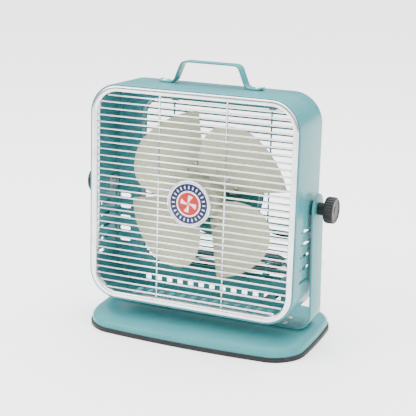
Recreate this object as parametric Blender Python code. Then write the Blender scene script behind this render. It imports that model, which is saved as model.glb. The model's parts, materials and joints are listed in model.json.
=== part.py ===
"""A tilting box fan: a rounded-square steel case with a plated front grille, held in a U-shaped
yoke by two clamp knobs, on a pressed steel foot. Metres, +Z up, the grille faces -Y."""

from math import cos, pi, radians, sin, sqrt

import bmesh
import bpy
import numpy as np
from mathutils import Euler, Matrix, Vector

# ---------------------------------------------------------------- driving dimensions
# The head's pieces are measured from the tilt axis, so y = 0 and z = 0 are the two clamp bolts.
case_width = 0.330
case_height = 0.327
case_depth = 0.090
case_corner = 0.045
case_sheet = 0.0012
case_hem = 0.0020              # width of the folded front edge
pivot_behind_middle = 0.024    # the bolts sit behind mid-depth, near the balance point
pivot_height = 0.2102
tilt_at_rest = radians(3.9)    # leaning back

trim_width = 0.0090
front_wire = 0.0028
front_pitch = 0.01009
front_rows = 30
front_post_x = 0.0530
rear_wire = 0.0026
rear_pitch = 0.0104
rear_post_x = 0.0800

opening_half = 0.127           # rear opening, inside its collar
opening_top = 0.133
opening_bottom = -0.127
opening_corner = 0.030
collar_bend = 0.0050
collar_depth = 0.0150          # how far the collar stands out behind the case

fan_radius = 0.127
fan_blades = 4
blade_sheet = 0.0010
blade_rear = -0.0060           # where each blade's straight edge lies
blade_front = -0.0360          # where its rounded edge lies
blade_start = radians(8.5)
blade_sweep = radians(84.5)
blade_round_from = radians(44.0)
blade_tip_drop = 0.067         # how much shorter the rounded edge is than the straight one
hub_radius = 0.0310
shaft_radius = 0.0040

motor_radius = 0.0440
boss_front = 0.0130            # the front bush sticks out of the can towards the fan
can_radius = 0.0700
can_front = 0.0230
can_back = 0.0505
can_bead = 0.0016              # rolled ring that stops the rear grille

yoke_width = 0.0440
yoke_sheet = 0.0030
yoke_gap = 0.0048              # between the case and each arm
yoke_bend = 0.0240
knob_radius = 0.0194
knob_length = 0.0146
neck_radius = 0.0093
neck_length = 0.0116
bolt_radius = 0.0040

handle_span = 0.0920           # outer width of the grip bar
handle_knee = 0.0245           # from each tip to where the strap leaves the case
handle_feet = 0.1640           # from tip to tip
handle_rise = 0.0345
handle_width = 0.0180
handle_sheet = 0.0025
handle_y = -0.0045

foot_half_width = 0.1775
foot_half_depth = 0.1006
foot_corner = 0.0445
foot_height = 0.0255
foot_sheet = 0.0015
foot_shoulder_x = 0.0180       # how far the domed edge reaches in at the sides
foot_shoulder_y = 0.0410       # and at the front and back
trim_height = 0.0072

cord_radius = 0.0030
lead_radius = 0.0028

gap = 0.0003                   # between pieces that touch
bearing_gap = 0.00005          # radial, shaft to bush
pivot_gap = 0.00009            # radial, clamp bolt to yoke and knob
hole_gap = 0.0004              # radial, screw to hole

# ---------------------------------------------------------------- sizes worked out from them
front_y = -case_depth / 2 - pivot_behind_middle
rear_y = case_depth / 2 - pivot_behind_middle
half_w = case_width / 2
half_h = case_height / 2
trim_outer = case_hem + gap                    # inset of the trim from the case's outside
trim_inner_w = half_w - trim_outer - trim_width
trim_inner_h = half_h - trim_outer - trim_width
panel_front = rear_y - case_sheet
collar_end = rear_y + collar_depth
rear_wire_y = collar_end + gap + rear_wire / 2
arm_inner = half_w + yoke_gap
arm_outer = arm_inner + yoke_sheet
yoke_floor = foot_height + gap                 # underside of the yoke's bottom strap
can_split = can_front + case_sheet + gap


# ---------------------------------------------------------------- scene helpers
def clear_scene():
    for thing in list(bpy.data.objects):
        bpy.data.objects.remove(thing, do_unlink=True)


def paint(name, colour, roughness, metallic=0.0):
    made = bpy.data.materials.get(name) or bpy.data.materials.new(name)
    made.use_nodes = True
    shader = made.node_tree.nodes["Principled BSDF"]
    shader.inputs["Base Color"].default_value = (*colour, 1.0)
    shader.inputs["Roughness"].default_value = roughness
    shader.inputs["Metallic"].default_value = metallic
    made.diffuse_color = (*colour, 1.0)
    return made


def enamel():
    return paint("teal_enamel", (0.24, 0.50, 0.52), 0.28)


def chrome():
    return paint("bright_plating", (0.82, 0.83, 0.85), 0.14, 1.0)


def steel():
    return paint("zinc_steel", (0.55, 0.56, 0.58), 0.38, 1.0)


def cream():
    return paint("cream_enamel", (0.62, 0.64, 0.55), 0.42)


def black_plastic():
    return paint("black_plastic", (0.03, 0.03, 0.03), 0.45)


def black_rubber():
    return paint("black_rubber", (0.02, 0.02, 0.02), 0.75)


def dark_steel():
    return paint("dark_steel", (0.10, 0.10, 0.11), 0.50, 0.6)


def brass():
    return paint("bronze_bush", (0.60, 0.42, 0.20), 0.35, 1.0)


def empty(name, place, turn=(0.0, 0.0, 0.0), parent=None):
    made = bpy.data.objects.new(name, None)
    made.empty_display_size = 0.02
    made.location = place
    made.rotation_euler = turn
    made.parent = parent
    bpy.context.scene.collection.objects.link(made)
    return made


def add(name, mesh, material, parent=None, place=(0, 0, 0), turn=(0, 0, 0), sharp=35):
    made = bpy.data.objects.new(name, mesh)
    if not mesh.materials:
        mesh.materials.append(material)
    mesh.shade_smooth()
    mesh.set_sharp_from_angle(angle=radians(sharp))
    made.location = place
    made.rotation_euler = turn
    made.parent = parent
    bpy.context.scene.collection.objects.link(made)
    return made


def mesh_from(name, points, faces):
    mesh = bpy.data.meshes.new(name)
    shape = bmesh.new()
    corners = [shape.verts.new(p) for p in points]
    for face in faces:
        shape.faces.new([corners[i] for i in face])
    bmesh.ops.recalc_face_normals(shape, faces=shape.faces)
    shape.to_mesh(mesh)
    shape.free()
    return mesh


def cutter(name, mesh, place=(0, 0, 0), turn=(0, 0, 0), parent=None):
    made = add(name, mesh, dark_steel(), parent, place, turn)
    made.hide_render = True
    made.display_type = "WIRE"
    return made


def boolean(target, tool, operation="DIFFERENCE"):
    step = target.modifiers.new(tool.name, "BOOLEAN")
    step.operation = operation
    step.solver = "EXACT"
    step.object = tool
    return target


def merged(name, meshes):
    """One mesh that holds several closed shapes, used as a single cutter or tool."""
    shape = bmesh.new()
    for mesh in meshes:
        shape.from_mesh(mesh)
    joined = bpy.data.meshes.new(name)
    shape.to_mesh(joined)
    shape.free()
    return joined


# ---------------------------------------------------------------- shape helpers
def moved(mesh, place=(0, 0, 0), turn=(0, 0, 0)):
    mesh.transform(Matrix.Translation(Vector(place)) @ Euler(turn).to_matrix().to_4x4())
    return mesh


def box(name, low, high):
    shape = bmesh.new()
    bmesh.ops.create_cube(shape, size=1.0)
    size = [b - a for a, b in zip(low, high)]
    middle = [(a + b) / 2 for a, b in zip(low, high)]
    bmesh.ops.scale(shape, vec=size, verts=shape.verts)
    bmesh.ops.translate(shape, vec=middle, verts=shape.verts)
    mesh = bpy.data.meshes.new(name)
    shape.to_mesh(mesh)
    shape.free()
    return mesh


def turned(name, profile, sides=32):
    """A closed (radius, y) profile spun about Y. Points on the axis close to a single vertex."""
    points, faces, rings = [], [], []
    for radius, y in profile:
        if radius < 1e-7:
            rings.append([len(points)])
            points.append((0.0, y, 0.0))
            continue
        rings.append(list(range(len(points), len(points) + sides)))
        points += [
            (radius * cos(2 * pi * k / sides), y, radius * sin(2 * pi * k / sides))
            for k in range(sides)
        ]
    for here, after in zip(rings, rings[1:] + rings[:1]):
        for k in range(sides):
            n = (k + 1) % sides
            if len(here) == 1 and len(after) == 1:
                break
            if len(here) == 1:
                faces.append((here[0], after[k], after[n]))
            elif len(after) == 1:
                faces.append((here[k], after[0], here[n]))
            else:
                faces.append((here[k], after[k], after[n], here[n]))
    return mesh_from(name, points, faces)


def along_x(mesh):
    """Turns a piece made about Y so that its +Y end points to +X."""
    return moved(mesh, turn=(0, 0, -pi / 2))


def along_z(mesh):
    """Turns a piece made about Y so that its +Y end points to +Z."""
    return moved(mesh, turn=(pi / 2, 0, 0))


def rounded_outline(half_a, half_b, corner, corner_steps=7):
    """Points and outward normals round a rectangle with arc corners, anticlockwise."""
    points, normals = [], []
    for sign_a, sign_b, start in ((1, 1, 0), (-1, 1, pi / 2), (-1, -1, pi), (1, -1, 1.5 * pi)):
        for k in range(corner_steps + 1):
            angle = start + pi / 2 * k / corner_steps
            normal = (cos(angle), sin(angle))
            points.append((sign_a * (half_a - corner) + corner * normal[0],
                           sign_b * (half_b - corner) + corner * normal[1]))
            normals.append(normal)
    return points, normals


def ring_in_xz(name, half_a, half_b, corner, profile, corner_steps=7, centre_z=0.0):
    """Carries a closed profile of (outward offset, y) round a rounded rectangle in XZ."""
    points, normals = rounded_outline(half_a, half_b, corner, corner_steps)
    count, verts, faces = len(profile), [], []
    for (a, b), (na, nb) in zip(points, normals):
        verts += [(a + na * u, y, centre_z + b + nb * u) for u, y in profile]
    total = len(points)
    for i in range(total):
        j = (i + 1) % total
        for k in range(count):
            n = (k + 1) % count
            faces.append((i * count + k, i * count + n, j * count + n, j * count + k))
    return mesh_from(name, verts, faces)


def plate_in_xz(name, half_a, half_b, corner, y_low, y_high, corner_steps=7, centre_z=0.0):
    points, _ = rounded_outline(half_a, half_b, corner, corner_steps)
    total = len(points)
    verts = [(a, y, centre_z + b) for y in (y_low, y_high) for a, b in points]
    faces = [tuple(range(total)), tuple(range(2 * total - 1, total - 1, -1))]
    faces += [(i, (i + 1) % total, total + (i + 1) % total, total + i) for i in range(total)]
    return mesh_from(name, verts, faces)


def slot_cutter(name, length, height, depth, axis):
    """A box with rounded ends, long in X, tall in Z, going through in Y, turned to lie on axis."""
    end = height / 2
    points = []
    for side, start in ((1, -pi / 2), (-1, pi / 2)):
        for k in range(4):
            angle = start + pi * k / 3
            points.append((side * (length / 2 - end) + end * cos(angle), end * sin(angle)))
    total = len(points)
    verts = [(a, y, b) for y in (-depth / 2, depth / 2) for a, b in points]
    faces = [tuple(range(total)), tuple(range(2 * total - 1, total - 1, -1))]
    faces += [(i, (i + 1) % total, total + (i + 1) % total, total + i) for i in range(total)]
    mesh = mesh_from(name, verts, faces)
    if axis == "X":
        moved(mesh, turn=(0, 0, pi / 2))
    if axis == "Z":
        moved(mesh, turn=(0, 0, pi / 2))
        moved(mesh, turn=(0, pi / 2, 0))
    return mesh


def rod(name, start, end, radius, sides=6):
    """A straight round wire between two points."""
    start, end = Vector(start), Vector(end)
    run = end - start
    shape = bmesh.new()
    bmesh.ops.create_cone(shape, cap_ends=True, segments=sides, radius1=radius, radius2=radius,
                          depth=run.length)
    mesh = bpy.data.meshes.new(name)
    shape.to_mesh(mesh)
    shape.free()
    turn = run.to_track_quat("Z", "Y").to_matrix().to_4x4()
    mesh.transform(Matrix.Translation((start + end) / 2) @ turn)
    return mesh


def filleted(corners, radii, steps=5):
    """A polyline whose inner corners are replaced by arcs of the given radii."""
    path = [Vector(corners[0])]
    for before, here, after, radius in zip(corners, corners[1:], corners[2:], radii):
        before, here, after = Vector(before), Vector(here), Vector(after)
        back, on = (before - here).normalized(), (after - here).normalized()
        half = back.angle(on) / 2
        reach = radius / np.tan(half)
        centre = here + (back + on).normalized() * (radius / sin(half))
        first = (here + back * reach - centre).normalized()
        last = (here + on * reach - centre).normalized()
        for k in range(steps + 1):
            path.append(centre + first.slerp(last, k / steps).normalized() * radius)
    path.append(Vector(corners[-1]))
    return path


def strap(name, path, widths, thickness, middle_y=0.0):
    """A flat bar: its path runs in XZ, its width lies along Y and may change on the way."""
    verts, faces = [], []
    for i, here in enumerate(path):
        before, after = path[max(i - 1, 0)], path[min(i + 1, len(path) - 1)]
        run_in = (here - before).normalized() if i else (after - here).normalized()
        run_out = (after - here).normalized() if i < len(path) - 1 else run_in
        run = (run_in + run_out).normalized()
        normal = Vector((-run.y, run.x)) * (thickness / 2 / max(run.dot(run_in), 0.5))
        width = widths[i] / 2
        for side, edge in ((1, -1), (1, 1), (-1, 1), (-1, -1)):
            place = here + normal * side
            verts.append((place.x, middle_y + width * edge, place.y))
    for i in range(len(path) - 1):
        for k in range(4):
            n = (k + 1) % 4
            faces.append((i * 4 + k, i * 4 + n, i * 4 + 4 + n, i * 4 + 4 + k))
    last = len(path) * 4
    faces += [(0, 1, 2, 3), (last - 1, last - 2, last - 3, last - 4)]
    return mesh_from(name, verts, faces)


def smooth_curve(points, spacing):
    """Points at an even spacing along a smooth (Catmull-Rom) curve through the given ones."""
    p = np.array(points, float)
    p = np.vstack([2 * p[0] - p[1], p, 2 * p[-1] - p[-2]])
    t = np.linspace(0, 1, 24, endpoint=False)[:, None]
    pieces = [
        0.5 * (2 * b + (c - a) * t + (2 * a - 5 * b + 4 * c - d) * t**2 + (3 * b - a - 3 * c + d) * t**3)
        for a, b, c, d in zip(p, p[1:], p[2:], p[3:])
    ]
    dense = np.vstack(pieces + [p[-2:-1]])
    run = np.concatenate([[0], np.cumsum(np.linalg.norm(np.diff(dense, axis=0), axis=1))])
    stations = np.linspace(0, run[-1], max(2, int(round(run[-1] / spacing)) + 1))
    return np.stack([np.interp(stations, run, dense[:, k]) for k in range(3)], axis=1)


def tube(name, points, radius, material, parent=None, resolution=2):
    curve = bpy.data.curves.new(name, "CURVE")
    curve.dimensions = "3D"
    curve.bevel_depth = radius
    curve.bevel_resolution = resolution
    curve.use_fill_caps = True
    line = curve.splines.new("POLY")
    line.points.add(len(points) - 1)
    for point, place in zip(line.points, points):
        point.co = (*place, 1.0)
    curve.materials.append(material)
    made = bpy.data.objects.new(name, curve)
    made.parent = parent
    bpy.context.scene.collection.objects.link(made)
    return made


def screw(name, place, turn, head_radius, head_height, shank_radius, shank_length, parent):
    """A domed cross-head screw: the head's seat is at y = 0, and the shank runs to -y."""
    profile = [
        (0, head_height), (head_radius * 0.55, head_height * 0.92), (head_radius * 0.9, head_height * 0.5),
        (head_radius, 0), (shank_radius, 0), (shank_radius, -shank_length), (0, -shank_length),
    ]
    made = add(name, turned(name, profile, 10), steel(), parent, place, turn)
    recess = merged(name + "_recess", [
        box("bar", (-head_radius * 0.55, head_height * 0.45, -head_radius * 0.13),
            (head_radius * 0.55, head_height * 1.5, head_radius * 0.13)),
    ])
    return boolean(made, cutter(name + "_cut", recess, place, turn, parent))


# ---------------------------------------------------------------- the foot and the yoke
def foot_outline(inset, share, side_steps=4, corner_steps=5):
    """The foot's plan: a rounded rectangle whose sides all bow outwards. It is drawn in by inset, and
    by a share of the shoulders."""
    half_a = foot_half_width - inset - foot_shoulder_x * share
    half_b = foot_half_depth - inset - foot_shoulder_y * share
    corner = foot_corner - inset - foot_shoulder_x * share * 0.5
    corners, _ = rounded_outline(half_a, half_b, corner, corner_steps)
    points = []
    for i, (x, y) in enumerate(corners):
        points.append((x, y))
        if i % (corner_steps + 1) == corner_steps:
            nx, ny = corners[(i + 1) % len(corners)]
            points += [(x + (nx - x) * k / side_steps, y + (ny - y) * k / side_steps)
                       for k in range(1, side_steps)]
    bow_front, bow_side = 0.0090, 0.0050
    return [(x * (1 - bow_side / half_a * (y / half_b) ** 2),
             y * (1 - bow_front / half_b * (x / half_a) ** 2))
            for x, y in points]


def stacked(name, levels, closed_loop):
    """Joins foot outlines given as (inset, share, z). A closed loop is a ring, and an open one is capped."""
    loops = [[(x, y, z) for x, y in foot_outline(inset, share)] for inset, share, z in levels]
    count = len(loops[0])
    verts = [p for loop in loops for p in loop]
    faces = []
    pairs = list(zip(range(len(loops)), range(1, len(loops))))
    if closed_loop:
        pairs.append((len(loops) - 1, 0))
    for a, b in pairs:
        faces += [(a * count + k, a * count + (k + 1) % count, b * count + (k + 1) % count, b * count + k)
                  for k in range(count)]
    if not closed_loop:
        faces.append(tuple(range(count)))
        last = (len(loops) - 1) * count
        faces.append(tuple(range(last + count - 1, last - 1, -1)))
    return mesh_from(name, verts, faces)


foot_edge = 0.0021             # inset of the shell's wall inside the rubber trim


def shoulder(inset_more, drop, steps):
    """(inset, share, z) down the domed edge, from the flat top to the rim."""
    fall = foot_height - trim_height - 0.0020
    levels = []
    for k in range(steps + 1):
        angle = pi / 2 * k / steps
        levels.append((foot_edge + inset_more, 1 - sin(angle) ** 0.85,
                       foot_height - drop - fall * (1 - cos(angle) ** 0.85)))
    return levels


yoke_screw_x = 0.1290
yoke_screw_y = 0.0100
gland_x, gland_z, gland_radius, gland_length = 0.055, 0.0130, 0.0046, 0.0300
lead_x, lead_y = 0.085, 0.046
grommet_radius = 0.0042


def foot():
    rim = foot_edge + foot_sheet
    outer = shoulder(0.0, 0.0, 6) + [(foot_edge, 0.0, 0.0024)]
    inner = [(rim, 0.0, 0.0024)] + shoulder(foot_sheet, foot_sheet, 4)[::-1]
    shell = add("base_shell", stacked("base_shell", outer + inner, False), enamel())
    holes = [along_z(turned("hole", [(0, -0.03), (bolt_radius * 0.55 + hole_gap, -0.03),
                                     (bolt_radius * 0.55 + hole_gap, 0.03), (0, 0.03)], 16))
             for _ in range(4)]
    for mesh, (sx, sy) in zip(holes, ((1, 1), (1, -1), (-1, 1), (-1, -1))):
        moved(mesh, (sx * yoke_screw_x, sy * yoke_screw_y, foot_height))
    gland_hole = turned("hole", [(0, -0.03), (gland_radius + gap, -0.03), (gland_radius + gap, 0.03), (0,
                                                                                                       0.03)], 16)
    lead_hole = along_z(turned("hole", [(0, -0.02), (grommet_radius + gap, -0.02),
                                        (grommet_radius + gap, 0.02), (0, 0.02)], 16))
    holes += [moved(gland_hole, (gland_x, foot_half_depth, gland_z)), moved(lead_hole, (lead_x, lead_y,
                                                                                        foot_height))]
    boolean(shell, cutter("base_holes", merged("base_holes", holes)))

    trim = [(0.0, 0.0), (0.0062, 0.0), (0.0062, 0.0045), (0.0039, 0.0045), (0.0039, 0.0021), (0.0018,
                                                                                              0.0021),
            (0.0018, trim_height), (0.0003, trim_height - 0.0004)]
    add("base_trim", stacked("base_trim", [(u, 0.0, z) for u, z in trim], True), black_rubber())
    add("base_cover", stacked("base_cover", [(0.0065, 0.0, 0.0016), (0.0065, 0.0, 0.0026)], False), steel())
    ballast_top = foot_height - foot_sheet - gap
    ballast = add("ballast_plate", box("ballast_plate", (-0.142, -0.038, ballast_top - 0.005),
                                       (0.142, 0.038, ballast_top)), dark_steel())
    boolean(ballast, cutter("ballast_holes", merged("ballast_holes", [
        moved(along_z(turned("hole", [(0, -0.01), (bolt_radius * 0.55 + hole_gap, -0.01),
                                      (bolt_radius * 0.55 + hole_gap, 0.01), (0, 0.01)], 16)),
              (sx * yoke_screw_x, sy * yoke_screw_y, ballast_top))
        for sx in (-1, 1) for sy in (-1, 1)])))


def yoke():
    """One bent strap: two arms with round tops and a bottom bar screwed to the foot."""
    middle = arm_inner + yoke_sheet / 2
    level = yoke_floor + yoke_sheet / 2
    round_top = [yoke_width / 2 * (1 - cos(pi / 2 * k / 6)) for k in range(7)]
    top = pivot_height + yoke_width / 2
    heights = [top - drop for drop in round_top]
    heights[0] = top - 0.0002
    arm = [(middle, z) for z in heights] + [(middle, level), (-middle, level)] + [(-middle,
                                                                                   z) for z in heights[::-1]]
    bends = [0.0] * (len(heights) - 1) + [yoke_bend, yoke_bend] + [0.0] * (len(heights) - 1)
    path, widths = [Vector(arm[0])], []
    for before, here, after, radius in zip(arm, arm[1:], arm[2:], bends):
        path += filleted([before, here, after], [radius], 6)[1:-1] if radius else [Vector(here)]
    path.append(Vector(arm[-1]))
    for here in path:
        above = max(here.y - pivot_height, 0.0)
        widths.append(max(2 * sqrt(max((yoke_width / 2) ** 2 - above**2, 0.0)), 0.004))
    made = add("yoke", strap("yoke", path, widths, yoke_sheet), enamel())
    bores = [moved(along_x(turned("hole", [(0, -0.02), (bolt_radius + pivot_gap, -0.02),
                                           (bolt_radius + pivot_gap, 0.02), (0, 0.02)], 24)),
                   (side * middle, 0, pivot_height)) for side in (-1, 1)]
    bores += [moved(along_z(turned("hole", [(0, -0.01), (bolt_radius * 0.55 + hole_gap, -0.01),
                                            (bolt_radius * 0.55 + hole_gap, 0.01), (0, 0.01)], 16)),
                    (sx * yoke_screw_x, sy * yoke_screw_y, level)) for sx in (-1, 1) for sy in (-1, 1)]
    boolean(made, cutter("yoke_holes", merged("yoke_holes", bores)))
    number = 0
    for sx in (-1, 1):
        for sy in (-1, 1):
            number += 1
            screw(f"yoke_screw_{number}", (sx * yoke_screw_x, sy * yoke_screw_y,
                                           yoke_floor + yoke_sheet + gap),
                  (pi / 2, 0, 0), 0.0042, 0.0022, bolt_radius * 0.55, 0.0115, None)


# ---------------------------------------------------------------- the cord
hank_x, hank_y, hank_turn = -0.0760, 0.2640, radians(15)   # middle of the coiled cord
hank_run, hank_fold = 0.1180, 0.0325
hank_lift, hank_height = 0.0013, 0.0127
cord_rest = cord_radius + 0.0002
turn_x, turn_y, turn_radius = 0.0180, 0.2230, 0.0370   # the bend that takes the cord into the coil
cord_route = [(gland_x, 0.1312, gland_z), (gland_x, 0.1420, 0.0112), (gland_x, 0.1540, 0.0072),
              (gland_x, 0.1660, 0.0042), (gland_x, 0.1760, cord_rest), (gland_x, 0.2000, cord_rest)]
cord_route += [(turn_x + turn_radius * cos(radians(a)), turn_y + turn_radius * sin(radians(a)), cord_rest)
               for a in (0, 26, 52, 74, 90)]
plug_x, plug_y, plug_turn = 0.0582, 0.3020, radians(20)


def cord():
    gland = [(0, -0.022), (gland_radius + 0.0012, -0.022), (gland_radius + 0.0012, -0.018), (gland_radius,
                                                                                             -0.018),
             (gland_radius, 0.004), (gland_radius - 0.0002, 0.010), (cord_radius + 0.0006, gland_length),
             (0, gland_length)]
    add("cord_gland", turned("cord_gland", gland, 16), black_rubber(), None, (gland_x, foot_half_depth,
                                                                              gland_z))
    tube("cord_tube", smooth_curve(cord_route, 0.0066), cord_radius, black_rubber(), None, 2)
    wide = 2 * (hank_fold + cord_radius + gap)
    points = []
    for side, start in ((1, -pi / 2), (-1, pi / 2)):
        for k in range(9):
            angle = start + pi * k / 8
            points.append((side * hank_run / 2 + wide / 2 * cos(angle), wide / 2 * sin(angle)))
    total = len(points)
    verts = [(a, b, z) for z in (hank_lift, hank_lift + hank_height) for a, b in points]
    faces = [tuple(range(total)), tuple(range(2 * total - 1, total - 1, -1))]
    faces += [(i, (i + 1) % total, total + (i + 1) % total, total + i) for i in range(total)]
    block = mesh_from("cord_hank", verts, faces)
    add("cord_hank", moved(block, (hank_x, hank_y, 0), (0, 0, hank_turn)), black_rubber())
    inner = (wide / 2 + gap, hank_height / 2 + gap)
    band = ring_in_xz("cord_tie", inner[0], inner[1], 0.0004, [(0, -0.004), (0.0010, -0.004), (0.0010,
                                                                                               0.004),
                                                               (0, 0.004)], 3)
    middle = (hank_x, hank_y, hank_lift + hank_height / 2)
    add("cord_tie", moved(band, middle, (0, 0, pi / 2 + hank_turn)), black_rubber())
    body = [(0, 0.0), (0.0042, 0.0), (0.0046, 0.010), (0.0075, 0.013), (0.0095, 0.018), (0.0095, 0.036),
            (0.0085, 0.038), (0, 0.038)]
    flat = 0.72
    shell = turned("plug", body, 16)
    shell.transform(Matrix.Diagonal((1.35, 1.0, flat, 1.0)))
    place = (plug_x, plug_y, 0.0095 * flat)
    plug = add("plug", shell, black_rubber(), None, place, (0, 0, plug_turn))
    pins = merged("plug_pins", [box("pin", (s * 0.00635 - 0.00075, 0.034, -0.0031),
                                    (s * 0.00635 + 0.00075, 0.055, 0.0031)) for s in (-1, 1)])
    boolean(plug, cutter("plug_pin_tool", pins, place, (0, 0, plug_turn)), "UNION")


# ---------------------------------------------------------------- the head
vent_top, vent_pitch, vent_rows = -0.0272, 0.0187, 5
panel_vent_top, panel_vent_pitch, panel_vent_rows = -0.0240, 0.0177, 5
sill_pitch, sill_count, sill_slot, sill_z = 0.0182, 13, 0.0090, -0.1503
handle_screw_x = 0.0740


def case(head):
    hem = 0.0030
    profile = [(0, front_y + 0.0007), (-0.0007, front_y), (-case_hem + 0.0005, front_y), (-case_hem,
                                                                                          front_y + 0.0005),
               (-case_hem, front_y + hem), (-case_sheet, front_y + hem + 0.0006), (-case_sheet,
                                                                                   rear_y), (0, rear_y)]
    shell = add("case_shell", ring_in_xz("case_shell", half_w, half_h, case_corner, profile, 8), enamel(),
                head)
    middle = -pivot_behind_middle
    cuts = []
    for side in (-1, 1):
        for row in range(vent_rows):
            z = vent_top - row * vent_pitch
            long_low = row == vent_rows - 1
            low, high = middle + (-0.0225 if long_low else -0.0130), middle + 0.0150
            cuts.append(moved(slot_cutter("vent", high - low, 0.0050, 0.012, "X"),
                              (side * half_w, (low + high) / 2, z)))
            if not long_low:
                cuts.append(moved(slot_cutter("vent", 0.0056, 0.0040, 0.012, "X"),
                                  (side * half_w, middle - 0.0200, z)))
        cuts.append(moved(along_x(turned("hole", [(0, -0.01), (bolt_radius + hole_gap, -0.01),
                                                  (bolt_radius + hole_gap, 0.01), (0, 0.01)], 16)),
                          (side * half_w, 0, 0)))
        for step in (-1, 1):
            cuts.append(moved(along_z(turned("hole", [(0, -0.01), (0.0016 + hole_gap, -0.01),
                                                      (0.0016 + hole_gap, 0.01), (0, 0.01)], 12)),
                              (side * handle_screw_x, handle_y + step * 0.0045, half_h)))
    for k in range(sill_count):
        x = (k - (sill_count - 1) / 2) * sill_pitch
        cuts.append(moved(box("vent", (-sill_slot / 2, -0.0220, -0.006), (sill_slot / 2, 0.0220, 0.006)),
                          (x, middle, -half_h)))
    boolean(shell, cutter("case_cuts", merged("case_cuts", cuts), parent=head))


def rear_panel(head):
    """A flanged back plate with a collared opening, and punched vents along its sides and sill."""
    inset = case_sheet + gap
    flange = 0.0100
    profile = [(-inset, rear_y - flange), (-inset, rear_y), (-0.024, rear_y), (-0.024, panel_front),
               (-inset - case_sheet, panel_front), (-inset - case_sheet, rear_y - flange)]
    border = ring_in_xz("rear_panel", half_w, half_h, case_corner, profile, 8)
    panel = add("rear_panel", border, enamel(), head)
    centre, half = (opening_top + opening_bottom) / 2, (opening_top - opening_bottom) / 2
    cuts = [plate_in_xz("opening", opening_half + collar_bend, half + collar_bend,
                        opening_corner + collar_bend,
                        panel_front - 0.004, rear_y + 0.004, 6, centre)]
    for side in (-1, 1):
        for row in range(panel_vent_rows):
            cuts.append(moved(slot_cutter("vent", 0.0180, 0.0060, 0.012, "Y"),
                              (side * 0.1520, rear_y, panel_vent_top - row * panel_vent_pitch)))
    for k in range(sill_count):
        x = (k - (sill_count - 1) / 2) * sill_pitch
        cuts.append(moved(box("vent", (-sill_slot / 2, -0.006, -0.0042), (sill_slot / 2, 0.006, 0.0042)),
                          (x, rear_y, sill_z)))
    plate = plate_in_xz("panel_plate", half_w - 0.0200, half_h - 0.0200, 0.026, panel_front, rear_y, 8)
    boolean(panel, cutter("panel_plate", plate, parent=head), "UNION")
    boolean(panel, cutter("panel_cuts", merged("panel_cuts", cuts), parent=head))
    bend, sheet = collar_bend, case_sheet
    collar = [(bend + 0.0010, panel_front + 0.0001), (bend * 0.45, panel_front + bend * 0.18),
              (bend * 0.10, panel_front + bend * 0.50), (0, panel_front + bend), (0, collar_end),
              (sheet, collar_end), (sheet, rear_y + bend * 0.8), (bend * 0.62, rear_y + bend * 0.12),
              (bend + 0.0010, rear_y - 0.0001)]
    ring = ring_in_xz("panel_collar", opening_half, half, opening_corner, collar, 6, centre)
    boolean(panel, cutter("panel_collar", ring, parent=head), "UNION")


def front_trim(head):
    y = front_y
    profile = [(0, y + 0.0040), (0, y + 0.0002), (-0.0012, y - 0.0010), (-0.0045, y - 0.0016), (-0.0078,
                                                                                                y - 0.0010),
               (-trim_width, y + 0.0002), (-trim_width, y + 0.0085), (-trim_width + 0.0010, y + 0.0085),
               (-trim_width + 0.0010, y + 0.0012), (-0.0010, y + 0.0012), (-0.0010, y + 0.0040)]
    add("front_trim", ring_in_xz("front_trim", half_w - trim_outer, half_h - trim_outer,
                                 case_corner - trim_outer,
                                 profile, 8), chrome(), head)


def inner_reach(height, half_a, half_b, corner):
    """Half-width of a rounded rectangle at a height above its middle."""
    into = abs(height) - (half_b - corner)
    return half_a if into <= 0 else half_a - corner + sqrt(max(corner**2 - into**2, 0.0))


def front_grille(head):
    corner = case_corner - trim_outer - trim_width
    wires, y = [], front_y + 0.0022
    for k in range(front_rows):
        z = (k - (front_rows - 1) / 2) * front_pitch
        reach = min(inner_reach(z + s * front_wire / 2, trim_inner_w, trim_inner_h, corner) for s in (-1,
                                                                                                      1)) - gap
        wires.append(rod("wire", (-reach, y, z), (reach, y, z), front_wire / 2, 6))
    grille = add("front_grille", merged("front_grille", wires), chrome(), head, sharp=60)
    posts = [rod("post", (x, y + front_wire * 0.8, -trim_inner_h + gap), (x, y + front_wire * 0.8,
                                                                          trim_inner_h - gap),
                 front_wire / 2, 6) for x in (-front_post_x, front_post_x)]
    boolean(grille, cutter("front_posts", merged("front_posts", posts), parent=head), "UNION")


badge_radius = 0.0345


def badge(head):
    back = front_y + 0.0022 - front_wire / 2 - gap
    rim = [(0, back), (badge_radius - 0.0006, back), (badge_radius, back - 0.0008), (badge_radius,
                                                                                     back - 0.0040),
           (badge_radius - 0.0008, back - 0.0048), (badge_radius - 0.0018, back - 0.0044),
           (badge_radius - 0.0022, back - 0.0030), (0, back - 0.0030)]
    made = add("badge_rim", turned("badge_rim", rim, 36), chrome(), head)
    stud = turned("stud", [(0, back - 0.001), (0.0018, back - 0.001), (0.0018, back + 0.010), (0,
                                                                                               back + 0.010)], 12)
    boolean(made, cutter("badge_stud", stud, parent=head), "UNION")
    face = [(0, back - 0.0046), (0.012, back - 0.0045), (0.024, back - 0.0041),
            (badge_radius - 0.0022 - gap, back - 0.0035), (badge_radius - 0.0022 - gap,
                                                           back - 0.0030 - gap),
            (0, back - 0.0030 - gap)]
    add("badge_face", turned("badge_face", face, 36), paint("badge_enamel", (0.75, 0.76, 0.78), 0.2), head)
    clamp_front = front_y + 0.0022 + front_wire / 2 + gap
    clamp = add("badge_clamp", box("badge_clamp", (-0.007, clamp_front, -0.018), (0.007,
                                                                                  clamp_front + 0.0015, 0.018)),
                steel(), head)
    hole = turned("hole", [(0, clamp_front - 0.004), (0.0018 + hole_gap, clamp_front - 0.004),
                           (0.0018 + hole_gap, clamp_front + 0.005), (0, clamp_front + 0.005)], 12)
    boolean(clamp, cutter("clamp_hole", hole, parent=head))


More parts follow.
